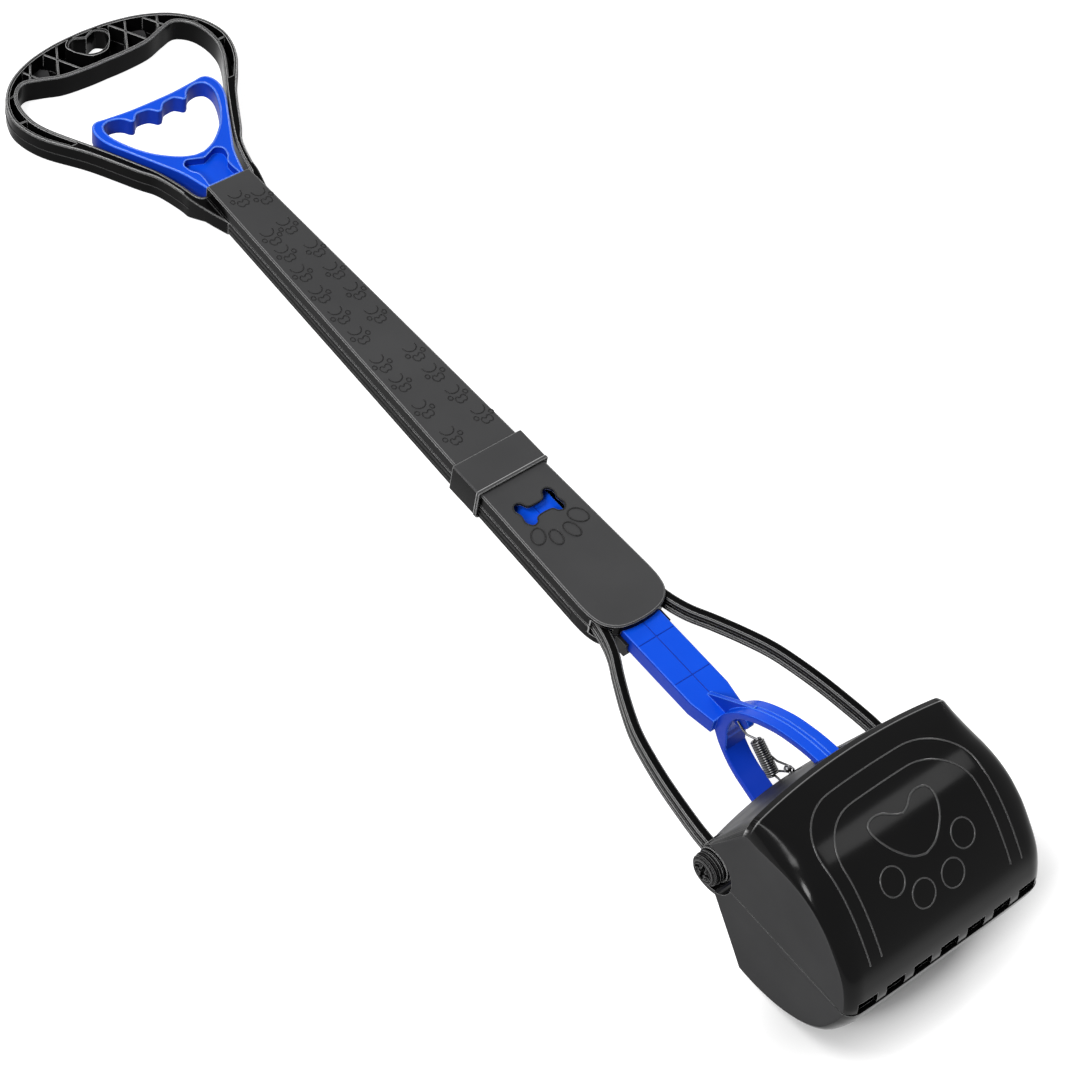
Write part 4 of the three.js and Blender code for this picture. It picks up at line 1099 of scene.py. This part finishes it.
nose = [
    (FOLD_Y + 0.3, BAR_BACK), *turn_of(8.4, 88, 36, 12, HINGE), (FOLD_Y + 7.2, BACK + 4.6),
    (FOLD_Y + 10.7, BACK + 4.6), (FOLD_Y + 10.7, BAR_BACK),
]
grip = join(
    plate("trigger_handle_body", [outer, inner], GRIP_BACK, GRIP_FRONT, 0.6, 3),
    plate("shoulder", [mirrored([(12.1, -5.9), (ROD_HALF, -17)])], BAR_BACK, BAR_FRONT, 0),
    box("rod", -ROD_HALF, ROD_HALF, FOLD_Y + 10.6, -16.9, BAR_BACK, BAR_FRONT),
    slab("nose", nose, -ROD_HALF, ROD_HALF, 0),
)
grip = cut(
    grip,
    box("hollow", -5, 5, FOLD_Y + 18, -24, BAR_BACK - 1, BAR_FRONT - 2.3),
    plate("bone", [mirrored([*bone, (10.2, -4)])], GRIP_FRONT - 5, 0, 0),
)
# The trigger's walls are painted darker blue as shade.
dress(grip, BLUE, "trigger", "trigger_handle", also=[(SHADE_BLUE, shaded_wall_faces)])
rims = [
    flat_ridge(evenly(shrunk(inner, -0.8), 0.8, True), True, 0.45, 0.3, GRIP_FRONT),
    flat_ridge(evenly(mirrored([p for p in bone if p[1] > 2.5])[:-1], 0.7), False, 0.4, 0.3, GRIP_FRONT),
    flat_ridge(evenly([p for p in shrunk(outer, 0.9) if p[1] > 2], 0.9), False, 0.35, 0.25, GRIP_FRONT),
]
# The trigger's rim beads are lighter blue: a painted highlight along its rims.
dress(merged("trigger_handle_rims", rims), RIM_HIGHLIGHT_BLUE, "trigger", slot="trigger_handle")


# Lower rear shell
shell = join(
    plate("lower_rear_shell_body", [lower_outline()], BACK, SEAM - GAP, 0.5, 3),
    box("nose", -14.4, 14.4, -353.5, -340, BACK, SEAM - GAP),
)
shell = cut(
    shell,
    lower_cavity("cavity", BACK + SKIN, 0),
    mouth(BACK + SKIN, 0),
    disc("relief", 2.5, -4.9, 4.9, *HINGE),
    *arm_clearance(),
)
pegs = [post("peg", 1.4, side * 17.6, -308, BACK + 1, -8.6) for side in (-1, 1)]
shell = with_seats(shell, LOWER_SCREWS, *two_sided(disc, "knuckle", 2.1, 4.9, 12.6, *HINGE, 0.3), *pegs)
dress(shell, BLACK, "lower_pole", "lower_rear_shell", also=[(DULL_BLACK_AND_RELIEF_SHADE, at_mouth)])


# Spring and its stud
WIRE_R, COIL_R, COIL_TURNS, PER_TURN = 0.58, 2.9, 16, 28
COIL_TOP, COIL_FOOT = np.array([0, -431.7, -3.4]), np.array([0, -447.3, -14.4])
HUB = np.array([0, *PIVOT])
STUD_ANGLE = 20.8
HEAD = np.array([0, *about(16.8, STUD_ANGLE)])
SPRING_TOP, SPRING_FOOT = (0, -425.7, -1.9), (0, -467.2, -8.6)


def wire(name, points):
    """Round wire along a line."""
    pts = np.array(points, float)
    normal = np.array([0.0, 0.3, 1.0])
    rings = []
    for i, p in enumerate(pts):
        ahead = unit(pts[min(i + 1, len(pts) - 1)] - pts[max(0, i - 1)])
        normal = unit(normal - ahead * (normal @ ahead))
        other = np.cross(ahead, normal)
        rings.append([p + WIRE_R * (normal * math.cos(a) + other * math.sin(a)) for a in full_turn(10)])
    return sweep(name, rings)


def spring_line():
    """From the lug on the fork down the coil to the axle."""
    side = np.array([1.0, 0, 0])
    up = np.cross(unit(COIL_FOOT - COIL_TOP), side)
    points = [(-2.7, -420.2, 0.2), (-2.7, -424.2, -1.6), (-2.1, -427.4, -3)]
    steps = COIL_TURNS * PER_TURN
    for i in range(steps + 1):
        t = i / steps
        turn = t * COIL_TURNS * 2 * math.pi
        radius = COIL_R * min(1, 0.3 + i / 14, 0.3 + (steps - i) / 14)
        out = side * math.sin(turn) + up * math.cos(turn)
        points.append(COIL_TOP + (COIL_FOOT - COIL_TOP) * t + radius * out)
    last = unit(HUB - COIL_FOOT)
    foot = HUB - last * (AXLE_R + GAP)
    return [*points, COIL_FOOT * 0.75 + foot * 0.25, COIL_FOOT * 0.4 + foot * 0.6, foot - last * 1.2, foot]


def hook_line():
    """The wire from the coil's side over the stud's head and back to the coil's foot."""
    start = COIL_TOP + (COIL_FOOT - COIL_TOP) * 0.5 + [COIL_R, 0, 0]
    over = [HEAD + step for step in ([1.9, 0.9, 0.9], [2.1, -0.9, 0.8], [1.9, -1.1, -1])]
    return [start, start * 0.6 + HEAD * 0.4, *over, COIL_FOOT + [2.4, -1, 3], COIL_FOOT + [1.8, 0.6, 1]]


spring = merged("return_spring_coil", [wire("coil", spring_line()), wire("hook", hook_line())])
dress(spring, SPRING, ("pull_fork", "lower_pole", SPRING_TOP, SPRING_FOOT), "return_spring", angle=60)

STUD_R, KNOB_R, KNOB_AT = 0.8, 1.9, 15.2
stud = np.array(about(AXLE_R + 0.3, STUD_ANGLE))
lift = unit(np.array(about(18, STUD_ANGLE)) - stud)
turns = [math.radians(a) for a in range(25, 176, 10)]
profile = [(0, STUD_R), (13.2, STUD_R)]
profile += [(KNOB_AT - KNOB_R * math.cos(a), KNOB_R * math.sin(a)) for a in turns]
rings = []
for height, radius in profile:
    y, z = stud + lift * height
    spots = [(radius * math.cos(a), radius * math.sin(a)) for a in full_turn(28)]
    rings.append([(u, y - lift[1] * v, z + lift[0] * v) for u, v in spots])
dress(sweep("spring_stud", rings), STEEL, "lower_pole", "spring_pin")


# Axle, pins, screws and washers
AXLE_HALF = 58.2
axle = disc("pivot_axle_rod", AXLE_R, -AXLE_HALF, AXLE_HALF, soft=0.3)
dress(cut(axle, *two_sided(disc, "end", 1.9, 50, 59)), STEEL, "lower_pole", "pivot_axle")
hinge_pin = disc("fold_hinge_rod", 1.1, -12.4, 12.4, *HINGE, 0.2, POST_SIDES)
dress(hinge_pin, STEEL, "lower_pole", "fold_hinge_pin")

SIDES = ((-1, "left"), (1, "right"))
# Each dome is a row of places along the screw and the radius there.
PIVOT_DOME = [
    (62.3, 8.5), (63.5, 8.5), (63.5, 7.7), (64.2, 7.7), (64.2, 8.1), (65.4, 8.1), (65.9, 7.6), (65.9, 6.8),
    (66.7, 6.6), (67, 6.1), (67, 4.6), (66.5, 4.3), (66.5, 3), (67.1, 2.7), (67.1, 1),
]
COVER_DOME = [
    (-4.2, 1.2), (-15.1, 1.2), (-15.1, 2.4), (-15.2, 2.6), (-15.8, 2.6), (-16.2, 2.3), (-16.45, 1.7),
    (-16.5, 0.8),
]
WASHERS = (("outer", 60.5, 62, 8.3), ("inner", 58.6, 60.2, 9.3))


def crossed(head, x0, x1, reach, width, y, z):
    """Cuts a cross recess into a screw head, from x0 to x1."""
    spans = [(reach, width), (width, reach)]
    return cut(head, *[box("slot", x0, x1, y - a, y + a, z - b, z + b) for a, b in spans])


for side, name in SIDES:
    head = turned("head", [(side * x, r) for x, r in PIVOT_DOME], *PIVOT)
    head = join(head, disc("shank", 1.6, *sorted((side * 50.5, side * 62.6))))
    head = crossed(head, *sorted((side * 65, side * 70)), 5.2, 1.1, *PIVOT)
    head.name = f"{name}_pivot_screw_head"
    dress(head, PAINT, "lower_pole", f"{name}_pivot_screw")
    for kind, a, b, radius in WASHERS:
        ring = disc(f"{name}_{kind}_washer_ring", radius, *sorted((side * a, side * b)), soft=0.3)
        ring = cut(ring, disc("hole", 1.9, *sorted((side * (a - 1), side * (b + 1)))))
        dress(ring, BLACK, "lower_pole", f"{name}_{kind}_washer")


def cover_screws(places, pole):
    """The screws that hold a pole's front cover, from behind."""
    for i, (x, y) in enumerate(places):
        for side, name in SIDES:
            node = f"{pole}_cover_screw_{name}_{i + 1}"
            screw = crossed(turned("screw", COVER_DOME, 0, 0, POST_SIDES), -17, -15.7, 1.6, 0.35, 0, 0)
            stood(screw, side * x, y).name = f"{node}_head"
            dress(screw, SCREW, f"{pole}_pole", node)


cover_screws(UPPER_SCREWS, "upper")
cover_screws(LOWER_SCREWS, "lower")

# The two CAD nodes that keep their own shape
for node in ("front_link_pin", "rear_link_pin"):
    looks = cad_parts[node].data.materials
    looks.clear()
    looks.append(STEEL)


# Stage, light and camera
def seen(tree):
    """1 for the rays that meet a white surrounding, of the camera, of gloss and of transmission, else 0."""
    path = added(tree, "LightPath", {})
    result = path.outputs["Is Camera Ray"]
    for name in ("Is Glossy Ray", "Is Transmission Ray"):
        result = computed(tree, "MAXIMUM", result, path.outputs[name]).outputs[0]
    return result


# The floor's own glow is weaker in an ellipse under the jaws, where the photograph is darkest: a painted
# shadow of the jaws.
SPREAD = 6.0
PAINTED_SHADOW_STRETCH, PAINTED_SHADOW_CENTRE = (1, 2.4, 1), (0.005, -0.785, 0)
PAINTED_SHADOW_RADII, GLOW = (0.05, 0.12), (0.1, 0.85)
WORLD_LIGHT = (0.14, 1.0)
corners = [(-SPREAD, -SPREAD, 0), (SPREAD, -SPREAD, 0), (SPREAD, SPREAD, 0), (-SPREAD, SPREAD, 0)]
floor = from_points("floor", corners, [(0, 1, 2, 3)])
white, tree, shader = nodes_of("white_floor")
longer = computed(tree, "MULTIPLY", place_of(tree), PAINTED_SHADOW_STRETCH, "VectorMath").outputs["Vector"]
away = computed(tree, "DISTANCE", longer, PAINTED_SHADOW_CENTRE, "VectorMath").outputs["Value"]
# The glow's dip is the painted shadow under the jaws.
glow = computed(tree, "MULTIPLY", seen(tree), remap(tree, away, PAINTED_SHADOW_RADII, GLOW)).outputs[0]
feed(tree, shader, {
    "Base Color": tint(0.6),
    "Roughness": 0.9,
    "Specular IOR Level": 0.0,
    "Emission Color": tint(1),
    "Emission Strength": glow,
})
floor.data.materials.append(white)

world = bpy.context.scene.world or bpy.data.worlds.new("studio")
bpy.context.scene.world = world
world.use_nodes = True
tree = world.node_tree
light = remap(tree, seen(tree), end=WORLD_LIGHT)
feed(tree, tree.nodes["Background"], {"Color": tint(1), "Strength": light})


def softbox(name, at, aim, size, power):
    lamp = bpy.data.lights.new(name, "AREA")
    lamp.shape = "RECTANGLE"
    lamp.size, lamp.size_y = size
    lamp.energy = power
    thing = link(name, lamp)
    thing.location = at
    thing.rotation_euler = (Vector(aim) - Vector(at)).to_track_quat("-Z", "Y").to_euler()


softbox("key", (-0.9, 0.45, 1.7), (0, -0.15, 0), (0.8, 0.6), 25)
softbox("rim", (1.6, 0.9, 0.6), (0, -0.1, 0), (0.35, 0.35), 8)
softbox("fill", (0.9, -0.32, 1.6), (0, -0.25, 0), (0.5, 0.4), 3)
softbox("side", (-1.24, -0.46, 1.15), (0, -0.28, 0.05), (0.34, 0.48), 17)

# The camera that was fitted to the photograph
FOCAL_PIXELS, PHOTO_PIXELS, SENSOR = 2706.66, 1080, 36
lens = bpy.data.cameras.new("camera")
lens.sensor_width = SENSOR
lens.lens = FOCAL_PIXELS / PHOTO_PIXELS * SENSOR
lens.clip_start = 0.05
camera = link("camera", lens)
camera.location = (-0.63046, -0.55726, 1.11672)
camera.rotation_euler = Euler([math.radians(a) for a in (35.2486, -9.3999, -38.7228)])
bpy.context.scene.camera = camera
bpy.context.scene.view_settings.view_transform = "Standard"
